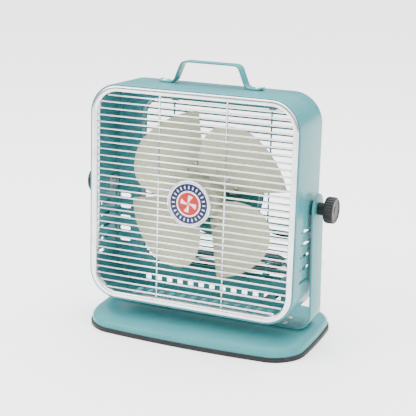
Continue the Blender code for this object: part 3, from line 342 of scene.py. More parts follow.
def areaLight(name, place, aim, size, watts):
    data = bpy.data.lights.new(name, "AREA")
    data.shape = "RECTANGLE"
    data.size, data.size_y = size
    data.energy = watts
    lamp = placed(name, data)
    lamp.location = place
    lamp.rotation_euler = (Vector(aim) - Vector(place)).to_track_quat("-Z", "Y").to_euler()


def setStudio():
    world = bpy.data.worlds.new("studio")
    world.use_nodes = True
    # bright overhead and dimmer towards the horizon, as under a wide soft box
    tree = world.node_tree
    way = tree.nodes.new("ShaderNodeTexCoord")
    split = tree.nodes.new("ShaderNodeSeparateXYZ")
    shade = tree.nodes.new("ShaderNodeMapRange")
    shade.interpolation_type = "SMOOTHSTEP"
    for socket, value in zip(shade.inputs[1:5], (0.10, 0.75, studio["horizon"], studio["sky"])):
        socket.default_value = value
    tree.links.new(way.outputs["Generated"], split.inputs[0])
    tree.links.new(split.outputs["Z"], shade.inputs["Value"])
    tree.links.new(shade.outputs["Result"], tree.nodes["Background"].inputs["Strength"])
    tree.nodes["Background"].inputs["Color"].default_value = (1.0, 1.0, 1.0, 1.0)
    bpy.context.scene.world = world
    areaLight("keyLight", (-1.5, -1.5, 1.5), (0, 0, 0.2), (1.0, 1.2), studio["key"])
    areaLight("fillLight", (1.7, -1.4, 1.0), (0, 0, 0.2), (1.0, 1.0), studio["fill"])
    areaLight("topLight", (0.0, 0.2, 2.0), (0, 0, 0.1), (1.6, 1.6), studio["top"])
    floor = bpy.data.meshes.new("floor")
    half = 6.0
    floor.from_pydata([(half * u, half * v, 0) for u, v in square], [], [(0, 1, 2, 3)])
    ground = placed("floor", floor)
    pale = Paint("paleFloor", "")
    soft = pale.noise(3.0, 2.0)
    pale.finish(Base_Color=pale.mix(soft, (0.93, 0.93, 0.93), (0.96, 0.96, 0.96)), Roughness=0.9)
    pale.shader.inputs["Specular IOR Level"].default_value = 0.0
    pale.shader.inputs["Emission Color"].default_value = (1.0, 1.0, 1.0, 1.0)
    pale.shader.inputs["Emission Strength"].default_value = studio["glow"]
    floor.materials.append(pale.material)


setCamera()
setStudio()
print("camera and light set")

# ---- surfaces


class Skin:
    # grids of points gathered into one mesh
    def __init__(self):
        self.points = []
        self.faces = []
        self.total = 0

    def grid(self, p, loopU=False, loopV=False, caps=False):
        # neighbouring rows and columns make quads; a loop joins the last to the first
        rows, columns = p.shape[:2]
        index = np.arange(rows * columns).reshape(rows, columns) + self.total
        ends = [index[0][::-1].tolist(), index[-1].tolist()]
        if loopU:
            index = np.vstack([index, index[:1]])
        if loopV:
            index = np.hstack([index, index[:, :1]])
        quads = np.stack([index[:-1, :-1], index[1:, :-1], index[1:, 1:], index[:-1, 1:]], -1)
        self.faces += quads.reshape(-1, 4).tolist()
        if caps:
            self.faces += ends
        self.points.append(np.asarray(p, float).reshape(-1, 3))
        self.total += rows * columns
        return self

    def wrap(self, p):
        return self.grid(p, loopV=True)

    def rod(self, p):
        return self.grid(p, loopV=True, caps=True)

    def ring(self, p):
        return self.grid(p, loopU=True, loopV=True)

    def mesh(self, name, points=None):
        made = bpy.data.meshes.new(name)
        made.from_pydata(np.vstack(self.points if points is None else points).tolist(), [], self.faces)
        work = bmesh.new()
        work.from_mesh(made)
        bmesh.ops.remove_doubles(work, verts=work.verts, dist=2e-6)
        bmesh.ops.dissolve_degenerate(work, edges=work.edges, dist=1e-6)
        bmesh.ops.recalc_face_normals(work, faces=work.faces)
        work.to_mesh(made)
        work.free()
        return made


def smoothed(mesh, sharp):
    mesh.polygons.foreach_set("use_smooth", np.ones(len(mesh.polygons), bool))
    mesh.set_sharp_from_angle(angle=radians(sharp))


def addPiece(name, skin, paint, body, nodes=(), inHead=False, cut=None, sharp=34):
    # the finished piece: placed, carved, smoothed, painted, and riding on its body
    place = fromHead if inHead else np.asarray
    mesh = skin.mesh(name, [place(p) for p in skin.points])
    made = placed(name, mesh)
    if cut:
        tool = placed("cut", cut.mesh("cut", [place(p) for p in cut.points]))
        carve = made.modifiers.new("carve", "BOOLEAN")
        carve.operation, carve.solver, carve.object = "DIFFERENCE", "EXACT", tool
        bpy.context.view_layer.update()
        carved = bpy.data.meshes.new_from_object(made.evaluated_get(bpy.context.evaluated_depsgraph_get()))
        made.modifiers.clear()
        made.data = carved
        carved.name = name
        bpy.data.meshes.remove(mesh)
        bpy.data.meshes.remove(tool.data)
    made.data.materials.clear()
    made.data.materials.append(paint.material)
    smoothed(made.data, sharp)
    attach(made, body)
    if nodes:
        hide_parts(*nodes)
    return made


def soften(corners, radius, loop=True, steps=4):
    # each corner becomes a short curve: a quadratic blend between points set back along its two sides
    p = np.array(corners, float)
    toBack, toNext = np.roll(p, 1, 0) - p, np.roll(p, -1, 0) - p
    back, on = (np.linalg.norm(v, axis=1, keepdims=True) for v in (toBack, toNext))
    r = np.minimum(np.asarray(radius, float).reshape(-1, 1), 0.48 * np.minimum(back, on))
    a, b = p + toBack / back * r, p + toNext / on * r
    t = np.linspace(0, 1, steps)[:, None, None]
    curve = ((1 - t) ** 2 * a + 2 * t * (1 - t) * p + t**2 * b).transpose(1, 0, 2)
    if loop:
        return curve.reshape(-1, p.shape[1])
    return np.vstack([p[:1], curve[1:-1].reshape(-1, p.shape[1]), p[-1:]])


def roundedRing(halfA, halfB, corner, y, centre=0.0, steps=14, sides=6):
    # a rounded rectangle in x and z: quarter arcs at the four corners, with straight runs between
    turn = np.arange(4)[:, None] * pi / 2 + np.linspace(0, pi / 2, steps)
    midX = np.array([1, -1, -1, 1])[:, None] * (halfA - corner)
    midZ = np.array([1, 1, -1, -1])[:, None] * (halfB - corner)
    arc = np.stack([midX + corner * np.cos(turn), midZ + corner * np.sin(turn)], -1)
    t = np.linspace(0, 1, sides + 1)[1:-1, None]
    run = arc[:, -1:] * (1 - t) + np.roll(arc, -1, 0)[:, :1] * t
    flat = np.concatenate([arc, run], 1).reshape(-1, 2)
    return np.stack([flat[:, 0], np.full(len(flat), y), centre + flat[:, 1]], -1)


def ringSweep(profile, halfA, halfB, corner, centre=0.0, steps=14, sides=6):
    # a closed profile of (outward, y) carried round a rounded rectangle
    return np.stack([roundedRing(halfA + d, halfB + d, max(corner + d, 0.0004), y, centre, steps, sides)
                     for d, y in profile])


def spun(profile, sides=64, centre=(0.0, 0.0, 0.0), axis="y", bend=None):
    # a profile of (radius, along) turned once round an axis; bend scales the radius with the angle
    r, along = np.array(profile, float).T[:, :, None]
    a = np.linspace(0, 2 * pi, sides, endpoint=False)[None]
    r = r * (1 if bend is None else bend(a, along))
    u, v, w = r * np.cos(a), r * np.sin(a), along + 0 * a
    order = {"y": (u, w, v), "x": (w, u, v), "z": (u, v, w)}[axis]
    return np.stack(order, -1) + np.asarray(centre, float)


def tube(path, radius, sides=16):
    # a circle carried along a path, its frame turned as little as possible from step to step
    p = np.asarray(path, float)
    t = np.gradient(p, axis=0)
    t /= np.linalg.norm(t, axis=1, keepdims=True)
    side = np.cross(t[0], (0.0, 0.0, 1.0) if abs(t[0][2]) < 0.9 else (1.0, 0.0, 0.0))
    frames = []
    for here in t:
        side = side - here * side.dot(here)
        side = side / np.linalg.norm(side)
        frames.append(side)
    n = np.array(frames)
    b = np.cross(t, n)
    a = np.linspace(0, 2 * pi, sides, endpoint=False)[None, :, None]
    r = np.broadcast_to(np.asarray(radius, float), len(p))[:, None, None]
    return p[:, None] + r * (np.cos(a) * n[:, None] + np.sin(a) * b[:, None])


def pathLength(p):
    return np.linalg.norm(np.diff(p, axis=0), axis=1).sum()


def resampled(p, count):
    # the same path with this many points, evenly spaced along it
    run = np.concatenate([[0], np.cumsum(np.linalg.norm(np.diff(p, axis=0), axis=1))])
    stations = np.linspace(0, run[-1], count)
    return np.stack([np.interp(stations, run, p[:, k]) for k in range(p.shape[1])], 1)


def turnedZ(angle):
    # points @ this are turned about z
    return np.array([[cos(angle), sin(angle), 0], [-sin(angle), cos(angle), 0], [0, 0, 1]])


def evenly(points, spacing):
    # a Catmull-Rom curve through the points, read at an even spacing
    p = np.array(points, float)
    p = np.vstack([2 * p[0] - p[1], p, 2 * p[-1] - p[-2]])
    t = np.linspace(0, 1, 24, endpoint=False)[:, None, None]
    a, b, c, d = p[:-3], p[1:-2], p[2:-1], p[3:]
    dense = 0.5 * (2 * b + (c - a) * t + (2 * a - 5 * b + 4 * c - d) * t**2 + (3 * b - a - 3 * c + d) * t**3)
    dense = np.vstack([dense.transpose(1, 0, 2).reshape(-1, 3), p[-2:-1]])
    return resampled(dense, max(2, int(round(pathLength(dense) / spacing)) + 1))


def wire(start, end, radius, sides=12):
    # a straight wire with slightly rounded ends
    start, end = np.array(start, float), np.array(end, float)
    run = (end - start) / np.linalg.norm(end - start)
    stops = np.array([start, start + run * radius * 0.3, end - run * radius * 0.3, end])
    t = np.tile(run, (4, 1))
    across = np.cross(run, (0.0, 1.0, 0.0))
    across /= np.linalg.norm(across)
    other = np.cross(t, across)
    a = np.linspace(0, 2 * pi, sides, endpoint=False)[None, :, None]
    r = np.array([0.72, 1, 1, 0.72])[:, None, None] * radius
    return stops[:, None] + r * (np.cos(a) * across + np.sin(a) * other[:, None])


def crossBox(low, high):
    # a plain block, used only to carve
    (x0, y0, z0), (x1, y1, z1) = low, high
    return np.array([[(x0, y0, z), (x1, y0, z), (x1, y1, z), (x0, y1, z)] for z in (z0, z1)])


def bore(cut, radius, low, high, centre, axis="y", sides=28):
    # a cylinder, used only to carve a round hole
    cut.wrap(spun([(0, low), (radius, low), (radius, high), (0, high)], sides, centre, axis))


def sheetEdge(g):
    # the points round the outside of a grid, in order
    return np.concatenate([g[:, 0], g[-1, 1:], g[-2::-1, -1], g[0, -2:0:-1]])


def slotBlock(length, height, depth, centre, axis):
    # a slot with round ends, long in its first direction: along y through x, or along x through y
    end = height / 2
    a = np.concatenate([np.linspace(-pi / 2, pi / 2, 9), np.linspace(pi / 2, 3 * pi / 2, 9)])
    shift = np.repeat([length / 2 - end, end - length / 2], 9)
    u, v = shift + end * np.cos(a), end * np.sin(a)
    w = np.array([-depth / 2, depth / 2])[:, None] + 0 * u
    u, v = u + 0 * w, v + 0 * w
    return np.stack({"x": (w, u, v), "y": (u, w, v)}[axis], -1) + np.asarray(centre, float)


def makeScrews(name, node, spots, radius, height, body, inHead):
    # domed heads that face up, rising about as one minus the square of the radius, with a plus for the driver
    share = np.array([0.0, 0.3, 0.55, 0.8, 0.95, 1.0, 1.0])
    rise = np.array([1.0, 0.96, 0.84, 0.58, 0.26, 0.0, -0.35])
    reach, half = radius * 0.62, radius * 0.13
    arm = np.array([reach + 1j * half, half + 1j * half, half + 1j * reach])
    plus = np.concatenate([arm * 1j**quarter for quarter in range(4)]) * np.exp(0.4j)
    groove = np.array([[(p.real, p.imag, height * h) for p in plus] for h in (0.30, 1.6)])
    for number, place in enumerate(spots, 1):
        head = Skin().rod(spun(np.stack([share * radius, rise * height], 1), 24, place, "z"))
        cut = Skin().rod(groove + place)
        addPiece(f"{name}{number}", head, zinc, body, (f"{node}_{number}",), inHead, cut, 30)


# ---- cord: from the foot's back edge over the floor into a two-layer hank, and out to the plug

cord = dict(length=1.83, radius=0.003, exitX=0.055, exitY=0.1306, exitZ=0.0130, rest=0.0032,
            bendRadius=0.0340, hank=(-0.0760, 0.2640), lean=15.0, run=0.1180, fold=0.0325,
            pitch=0.0062, turns=3.875, tieLift=0.0012, tailRadius=0.0240, tailTurn=185)


def hankPoint(s, fold, run):
    # each lap has four equal quarters of s: near run, left fold, far run, right fold
    q = (s % 1.0) * 4
    quarter = [q < 1, q < 2, q < 3]
    left, right = pi * (q - 1), pi * (q - 3)
    x = np.select(quarter, [run / 2 - run * q, -run / 2 - fold * np.sin(left), run * (q - 2) - run / 2],
                  run / 2 + fold * np.sin(right))
    y = np.select(quarter, [-fold, -fold * np.cos(left), fold], fold * np.cos(right))
    return x, y


def hankPath(run):
    # first layer winds inwards on the floor, second winds outwards on top of it
    s = np.linspace(0, cord["turns"], int(cord["turns"] * 48) + 1)
    middle = cord["turns"] / 2
    fold = cord["fold"] - cord["pitch"] * (middle - np.abs(s - middle))
    x, y = hankPoint(s, fold, run)
    up = np.clip((s - middle + 0.12) / 0.24, 0, 1)
    rise = 3 * up**2 - 2 * up**3
    tie = np.exp(-((x / 0.012) ** 2))
    z = cord["rest"] + 0.0063 * rise + cord["tieLift"] * tie + 0.0001
    lean = radians(cord["lean"])
    px, py = cord["hank"]
    return np.stack([px + x * cos(lean) - y * sin(lean), py + x * sin(lean) + y * cos(lean), z], 1)


def cordPath(run):
    x, rest = cord["exitX"], cord["rest"]
    start = [(x, cord["exitY"], cord["exitZ"]), (x, 0.1420, 0.0112), (x, 0.1540, 0.0072), (x, 0.1660, 0.0042),
             (x, 0.1760, rest), (x, 0.2000, rest)]
    # the bend's circle touches the straight part behind the exit and the line of the hank's near run
    coil, lean, r = hankPath(run), radians(cord["lean"]), cord["bendRadius"]
    bx = x - r
    by = coil[0][1] + ((bx - coil[0][0]) * sin(lean) - r) / cos(lean)
    start += [(bx + r * cos(radians(a)), by + r * sin(radians(a)), rest) for a in range(0, 100, 14)]
    heading = radians(cord["lean"] - 90)
    turn = np.radians(np.linspace(0, cord["tailTurn"], 9)[1:])
    r = cord["tailRadius"]
    hx, hy = coil[-1][:2]
    cx, cy = hx - r * sin(heading), hy + r * cos(heading)
    drop = np.clip(np.linspace(0.12, 1.6, len(turn)), 0, 1)
    fall = coil[-1][2] + (rest - coil[-1][2]) * (3 * drop**2 - 2 * drop**3)
    fall[-2:] = (0.0042, 0.0062)
    tail = np.stack([cx + r * np.sin(heading + turn), cy - r * np.cos(heading + turn), fall], 1)
    return evenly(np.vstack([start, coil, tail]), 0.0025)


def makeCord():
    run = cord["run"]
    for _ in range(6):
        run += (cord["length"] - pathLength(cordPath(run))) / (2 * cord["turns"])
    path = cordPath(run)
    print("hank run", round(run, 4), "cord", round(pathLength(path), 4), "end", path[-1].round(4))
    line = tube(path, cord["radius"] * 0.995, 14)
    lead = addPiece("mainsCord", Skin().rod(line), rubber, "stand", ("cord_tube", "cord_hank"))
    end, way = path[-1], path[-1] - path[-2]
    plug = makePlug(end, atan2(-way[0], way[1]))
    tie = makeTie()


def makePlug(end, turn):
    # a moulded plug: round neck swelling into a flattened body with grip rings and two flat pins
    along = np.array([-0.004, 0.0, 0.006, 0.010, 0.013, 0.018, 0.026, 0.034, 0.0365, 0.038])
    wide = np.array([0.0034, 0.0050, 0.0058, 0.0066, 0.0100, 0.0124, 0.0128, 0.0124, 0.0116, 0.0100])
    y = np.concatenate([[along[0]], np.linspace(along[0], along[-1], 90), [along[-1]]])
    r = np.interp(y, along, wide)
    grip = (y > 0.019) & (y < 0.032)
    r -= 0.0005 * grip * (np.sin((y - 0.019) * 2 * pi / 0.0026) > 0)
    r[[0, -1]] = 0.0031, 0.0001
    a = np.linspace(0, 2 * pi, 40, endpoint=False)[None]
    flat = 1 - 0.46 * np.clip((y - 0.006) / 0.010, 0, 1)[:, None]
    x, z = r[:, None] * np.cos(a), r[:, None] * np.sin(a) * flat
    body = np.stack([x, y[:, None] + 0 * a, z], -1)
    skin = Skin().rod(body)
    pins = Skin()
    for side in (-1, 1):
        flatPin = soften([(0.00075 * u, 0.0031 * v) for u, v in square], 0.0005)
        rows = np.array([[(side * 0.00635 + u * k, v, w * k) for u, w in flatPin]
                         for v, k in ((0.036, 1), (0.0540, 1), (0.0549, 0.8))])
        pins.rod(rows)
    for one in (skin, pins):
        one.points = [p @ turnedZ(turn) + (end[0], end[1], 0.0069) for p in one.points]
    made = addPiece("mainsPlug", skin, rubber, "stand", ("plug",))
    addPiece("plugPins", pins, zinc, "stand")
    return made


def makeTie():
    wideHalf, tall = cord["fold"] + cord["radius"] + 0.0012, 0.0148
    rows = []
    for grow, y in soften([(0, -0.0042), (-0.0008, -0.0042), (-0.0008, 0.0042), (0, 0.0042)], 0.0003):
        rows.append(roundedRing(wideHalf + grow, tall / 2 + grow, 0.0045 + grow, y, tall / 2 + 0.0001, 8, 5))
    p = np.stack(rows)
    skin = Skin().ring(p @ turnedZ(radians(cord["lean"]) + pi / 2) + (*cord["hank"], 0))
    return addPiece("cordTie", skin, rubber, "stand", ("cord_tie",))


def makeRelief():
    # tapered strain relief with ribs that thin out towards its tip
    y = np.linspace(-0.004, 0.0285, 120)
    r = np.interp(y, [-0.004, 0.002, 0.010, 0.0285], [0.0057, 0.0056, 0.0050, 0.0037])
    r -= 0.0006 * (np.sin((y - 0.004) * 2 * pi / 0.0036) > 0.1) * (y > 0.005) * (y < 0.027)
    profile = np.stack([r, y], 1)
    low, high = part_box("cord_gland")
    middle = ((low[0] + high[0]) / 2, 0.1006, (low[2] + high[2]) / 2)
    profile = np.vstack([[0, y[0]], profile, [0.0031, y[-1]], [0.0031, y[0]]])
    skin = Skin().rod(spun(profile[:-2], 28, middle))
    addPiece("strainRelief", skin, rubber, "stand", ("cord_gland",))


# ---- the case, its back panel and its trim

caseLow, caseHigh = headBox("case_shell")
case = dict(corner=0.045, sheet=0.0012, hem=0.0020, ventTop=-0.0272, ventPitch=0.0187, rows=5, handleX=0.0740,
            handleY=-0.0045, screwY=0.0045, sillPitch=0.0182, sillCount=13, sillSlot=0.0090)
halfW, halfH = caseHigh[0], caseHigh[2]
frontY, rearY = caseLow[1], caseHigh[1]
middleY = (frontY + rearY) / 2


def sillSlots(cut, middle, reach):
    # a row of square-ended slots along the bottom
    for k in range(case["sillCount"]):
        x = (k - (case["sillCount"] - 1) / 2) * case["sillPitch"]
        half = np.array([case["sillSlot"] / 2, *reach])
        centre = np.array([x, *middle])
        cut.rod(crossBox(centre - half, centre + half))


def makeCase():
    hem, sheet, f = case["hem"], case["sheet"], frontY
    outer = [(0, f + 0.0020), (-0.0006, f + 0.0003), (-hem + 0.0004, f + 0.0003), (-hem, f + 0.0010),
             (-hem, f + 0.0030), (-sheet, f + 0.0036), (-sheet, rearY), (0, rearY)]
    profile = soften(outer, [0.0012, 0.0007, 0.0004, 0.0003, 0.0004, 0.0004, 0.0003, 0.0003])
    shell = Skin().ring(ringSweep(profile, halfW, halfH, case["corner"], steps=20, sides=3))
    cut = Skin()
    for side in (-1, 1):
        for row in range(case["rows"]):
            z = case["ventTop"] - row * case["ventPitch"]
            longLow = row == case["rows"] - 1
            low, high = middleY - (0.0225 if longLow else 0.0130), middleY + 0.0150
            cut.rod(slotBlock(high - low, 0.0050, 0.012, (side * halfW, (low + high) / 2, z), "x"))
            if not longLow:
                cut.rod(slotBlock(0.0056, 0.0040, 0.012, (side * halfW, middleY - 0.0200, z), "x"))
    sillSlots(cut, (middleY, -halfH), (0.022, 0.006))
    addPiece("caseShell", shell, enamel, "head", ("case_shell",), True, cut, 30)


panel = dict(openHalf=0.127, top=0.133, bottom=-0.127, corner=0.030, bend=0.0050, deep=0.0150, ventX=0.1520,
             ventTop=-0.0240, ventPitch=0.0177, rows=5, sillZ=-0.1503)
openMid, openTall = (panel["top"] + panel["bottom"]) / 2, (panel["top"] - panel["bottom"]) / 2


def makeBackPanel():
    # rings run from the flange inside the case, over the plate, to the collar's rolled lip and back inside
    inset, sheet = case["sheet"] + gap, case["sheet"]
    w, h, c = halfW - inset, halfH - inset, case["corner"] - inset
    ow, oc, bend, out = panel["openHalf"], panel["corner"], panel["bend"], rearY + panel["deep"]

    def plate(inward, y, cornerIn=0.0):
        return w - inward, h - inward, c - cornerIn, y, 0

    def collar(outward, y, cornerOut=None):
        corner = oc + (outward if cornerOut is None else cornerOut)
        return ow + outward, openTall + outward, corner, y, openMid

    lift = [(bend, 0.0), (bend * 0.62, 0.12 * bend), (bend * 0.30, 0.36 * bend), (bend * 0.10, 0.68 * bend),
            (sheet, bend * 1.2)]
    rings = [plate(0, rearY - 0.0100), plate(0, rearY - 0.0016), plate(0.0004, rearY - 0.0004),
             plate(0.0016, rearY), plate(0.012, rearY, 0.010)]
    rings += [collar(d + sheet * 0.4, rearY + y, d) for d, y in lift[:-1]]
    rings += [collar(sheet, rearY + bend * 1.2), collar(sheet, out - 0.0003), collar(sheet * 0.6, out),
              collar(0, out - 0.0004), collar(0, rearY + bend)]
    rings += [collar(d, rearY + y - sheet) for d, y in lift[::-1][1:]]
    rings += [plate(0.012, rearY - sheet, 0.010), plate(0.0024, rearY - sheet, 0.001),
              plate(sheet, rearY - 0.0024, sheet), plate(sheet, rearY - 0.0100, sheet)]
    p = np.stack([roundedRing(a, b, k, y, m, 16, 4) for a, b, k, y, m in rings])
    skin = Skin().ring(p)
    cut = Skin()
    for side in (-1, 1):
        for row in range(panel["rows"]):
            z = panel["ventTop"] - row * panel["ventPitch"]
            cut.rod(slotBlock(0.0180, 0.0060, 0.012, (side * panel["ventX"], rearY, z), "y"))
    sillSlots(cut, (rearY, panel["sillZ"]), (0.006, 0.0042))
    addPiece("backPanel", skin, enamel, "head", ("rear_panel",), True, cut, 30)


trim = dict(inset=0.0023, width=0.0090)


def makeTrim():
    # a rolled bright frame: softly crowned face, with a lip that turns in behind the wires
    w = trim["width"]
    corners = [(0, 0.0040), (0, 0.0002), (-0.0014, -0.0012), (-w / 2, -0.0016), (-w + 0.0014, -0.0012),
               (-w, 0.0002), (-w, 0.0085), (-w + 0.0010, 0.0085), (-w + 0.0010, 0.0014), (-0.0010, 0.0014),
               (-0.0010, 0.0040)]
    bends = [0.0004, 0.0010, 0.0012, 0.003, 0.0012, 0.0010, 0.0004, 0.0004, 0.0006, 0.0006, 0.0004]
    profile = soften(np.array(corners) + (0, frontY), bends, steps=5)
    inset = trim["inset"]
    p = ringSweep(profile, halfW - inset, halfH - inset, case["corner"] - inset, steps=22, sides=3)
    addPiece("frontTrim", Skin().ring(p), plating, "head", ("front_trim",), True, sharp=40)


grille = dict(radius=0.0014, behind=0.0022, pitch=0.01009, rows=30, postX=0.0530)


def makeFrontGrille():
    # thirty level wires welded to two upright ones behind them, a small weld bead at each crossing
    r, y = grille["radius"], frontY + grille["behind"]
    inset = trim["inset"] + trim["width"]
    w, h, c = halfW - inset, halfH - inset, case["corner"] - inset
    skin, heights = Skin(), (np.arange(grille["rows"]) - (grille["rows"] - 1) / 2) * grille["pitch"]
    for z in heights:
        into = max(abs(z) + r - (h - c), 0.0)
        reach = w - c + sqrt(max(c * c - into * into, 0.0)) - gap
        skin.rod(wire((-reach, y, z), (reach, y, z), r))
    for x in (-grille["postX"], grille["postX"]):
        skin.rod(wire((x, y + 1.7 * r, gap - h), (x, y + 1.7 * r, h - gap), r))
        for z in heights:
            bead = spun([(0, -0.0013), (0.0009, -0.0009), (0.0012, 0), (0.0009, 0.0009), (0, 0.0013)], 8,
                        (x, y + 0.85 * r, z), "x")
            skin.wrap(bead)
    addPiece("frontWires", skin, plating, "head", ("front_grille",), True, sharp=60)


def makeBadge():
    back = frontY + grille["behind"] - grille["radius"] - gap
    r = badge["radius"]
    corners = [(0, 0), (r - 0.0006, 0), (r, -0.0008), (r, -0.0038), (r - 0.0010, -0.0048),
               (r - 0.0020, -0.0044), (r - 0.0024, -0.0030), (0, -0.0030)]
    bends = [0, 0.0004, 0.0004, 0.0012, 0.0008, 0.0006, 0.0004, 0]
    skin = Skin().wrap(spun(soften(np.array(corners) + (0, back), bends, False, 6), 96))
    stud = np.array([(0, -0.001), (0.0018, -0.001), (0.0018, 0.0095), (0, 0.0100)])
    skin.wrap(spun(stud + (0, back), 16))
    addPiece("badgeRim", skin, plating, "head", ("badge_rim",), True, sharp=30)
    # the face is gently crowned: it falls away with the square of the radius
    s = np.linspace(0, 1, 40)
    face = np.stack([s * (r - 0.0027), back - 0.0047 + 0.0012 * s**2], 1)
    edge = [(r - 0.0027, back - 0.0033), (0, back - 0.0033)]
    made = Skin().wrap(spun(np.vstack([face, edge]), 96))
    addPiece("badgeFace", made, badgeEnamel, "head", ("badge_face",), True)
    (x0, y0, z0), (x1, y1, z1) = headBox("badge_clamp")
    profile = soften([(x0, z0), (x1, z0), (x1, z1), (x0, z1)], 0.004, steps=6)
    rows = np.array([[(x, y, z) for x, z in profile] for y in (y0, y1)])
    addPiece("badgeClamp", Skin().rod(rows), zinc, "head", ("badge_clamp",), True)


rear = dict(radius=0.0013, pitch=0.0104, postX=0.0800)


def makeRearGrille():
    r = rear["radius"]
    y = headBox("rear_grille")[0][1] + r
    ow, c = panel["openHalf"], panel["corner"]
    canR = headBox("motor_cover")[1][0]
    skin, ring = Skin(), canR + 0.0015
    for k in range(int(panel["bottom"] / rear["pitch"]), int(panel["top"] / rear["pitch"]) + 1):
        z = k * rear["pitch"]
        into = max(abs(z - openMid) - (openTall - c), 0.0)
        reach = ow - c + sqrt(max(c * c - into * into, 0.0))
        if abs(z) < ring + r:
            start = sqrt(max(ring * ring - z * z, 0.0)) + 0.0001
            for s in (-1, 1):
                skin.rod(wire((s * start, y, z), (s * reach, y, z), r, 10))
        else:
            skin.rod(wire((-reach, y, z), (reach, y, z), r, 10))
    for x in (-rear["postX"], rear["postX"]):
        low, high = panel["bottom"] - 0.0006, panel["top"] + 0.0006
        skin.rod(wire((x, y + 1.6 * r, low), (x, y + 1.6 * r, high), r, 10))
    a = np.linspace(0, 2 * pi, 10, endpoint=False)
    border = ringSweep(np.stack([r * np.cos(a), y + r * np.sin(a)], 1), ow, openTall, c, openMid, 12, 3)
    skin.ring(border)
    band = soften([(ring + 0.0012 * u, y + r * v) for u, v in square], 0.0006)
    skin.ring(spun(band, 80))
    addPiece("rearWires", skin, enamel, "head", ("rear_grille",), True, sharp=60)


handle = dict(span=0.0920, feet=0.1640, knee=0.0245, rise=0.0345, width=0.0180, sheet=0.0025)


def strapRows(path, widths, thickness, middleY, round):
    # a flat bar whose section is a rectangle with softened edges, carried along a path in x and z
    p = np.asarray(path, float)
    t = np.gradient(p, axis=0)
    t /= np.linalg.norm(t, axis=1, keepdims=True)
    n = np.stack([-t[:, 1], t[:, 0]], 1)
    rows = []
    for here, normal, width in zip(p, n, widths):
        w, h = width / 2, thickness / 2
        section = soften([(w * u, h * v) for u, v in square], round)
        rows.append(np.stack([here[0] + section[:, 1] * normal[0], middleY + section[:, 0],
                              here[1] + section[:, 1] * normal[1]], 1))
    return np.stack(rows)


def makeHandle():
    level = halfH + gap + handle["sheet"] / 2
    top = halfH + handle["rise"] - handle["sheet"] / 2
    end, grip = handle["feet"] / 2, handle["span"] / 2
    right = [(end, level + 0.0022), (end - 0.0040, level), (end - handle["knee"], level),
             (grip - handle["sheet"] / 2, top)]
    corners = right + [(-x, z) for x, z in right[::-1]]
    path = soften(corners, [0.0, 0.003, 0.0075, 0.0075, 0.0075, 0.0075, 0.003, 0.0], False, 9)
    path = resampled(path, int(pathLength(path) / 0.0012) + 2)
    fromEnd = end - np.abs(path[:, 0])
    widths = handle["width"] * (1 - 0.34 * np.clip(1 - fromEnd / 0.005, 0, 1) ** 2.2)
    y = case["handleY"]
    skin = Skin().rod(strapRows(path, widths, handle["sheet"], y, 0.0008))
    addPiece("carryHandle", skin, enamel, "head", ("handle",), True, sharp=40)
    level = halfH + 2 * gap + handle["sheet"]
    spots = [(s * case["handleX"], y + t * case["screwY"], level) for s in (-1, 1) for t in (-1, 1)]
    makeScrews("handleScrew", "handle_screw", spots, 0.0032, 0.0020, "head", True)


# ---- the stand

foot = dict(halfWidth=0.1775, halfDepth=0.1006, corner=0.0445, height=0.0255, edge=0.0021, sheet=0.0015,
            shoulderX=0.0180, shoulderY=0.0410, trimHeight=0.0072, bowFront=0.0090, bowSide=0.0050)


def footRing(inset, share, z, steps=14, sides=16):
    # the plan is a bowed rounded rectangle: a side draws in with the square of the distance from its middle
    a = foot["halfWidth"] - inset - foot["shoulderX"] * share
    b = foot["halfDepth"] - inset - foot["shoulderY"] * share
    c = foot["corner"] - inset - foot["shoulderX"] * share * 0.5
    ring = roundedRing(a, b, c, 0.0, 0.0, steps, sides)
    x, y = ring[:, 0], ring[:, 2]
    wide = 1 - foot["bowSide"] / a * (y / b) ** 2
    deep = 1 - foot["bowFront"] / b * (x / a) ** 2
    return np.stack([x * wide, y * deep, np.full(len(x), z)], 1)


def footDome(insetMore, drop, steps):
    # the domed edge: in plan it draws in as one minus a sine, in height it falls as one minus a cosine
    a = np.linspace(0, pi / 2, steps)
    fall = foot["height"] - foot["trimHeight"] - 0.0020
    return np.stack([np.full(steps, foot["edge"] + insetMore), 1 - np.sin(a) ** 0.85,
                     foot["height"] - drop - fall * (1 - np.cos(a) ** 0.85)], 1)


def makeFoot():
    sheet, edge = foot["sheet"], foot["edge"]
    outer = footDome(0.0, 0.0, 34)
    inner = footDome(sheet, sheet, 20)[::-1]
    levels = np.vstack([outer, [[edge, 0, 0.0052], [edge, 0, 0.0024], [edge + sheet, 0, 0.0024]], inner])
    p = np.stack([footRing(*level) for level in levels])
    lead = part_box("lead_grommet_base")
    lx, ly = (lead[0][0] + lead[1][0]) / 2, (lead[0][1] + lead[1][1]) / 2
    cut = Skin()
    bore(cut, 0.0045, -0.01, 0.02, (lx, ly, foot["height"]), "z", 24)
    addPiece("footShell", Skin().rod(p), enamel, "stand", ("base_shell",), False, cut, 25)
    h = foot["trimHeight"]
    corners = [(0.0, 0.0), (0.0062, 0.0), (0.0062, 0.0045), (0.0039, 0.0045), (0.0039, 0.0021),
               (0.0018, 0.0021), (0.0018, h), (0.0003, h - 0.0002)]
    profile = soften(corners, [0.001, 0.0004, 0.0004, 0.0004, 0.0004, 0.0004, 0.0003, 0.0010])
    bead = np.stack([footRing(u, 0.0, z) for u, z in profile])
    addPiece("footTrim", Skin().ring(bead), rubber, "stand", ("base_trim",), sharp=40)


yoke = dict(width=0.0440, sheet=0.0030, bend=0.0240, screwX=0.1290, screwY=0.0100)


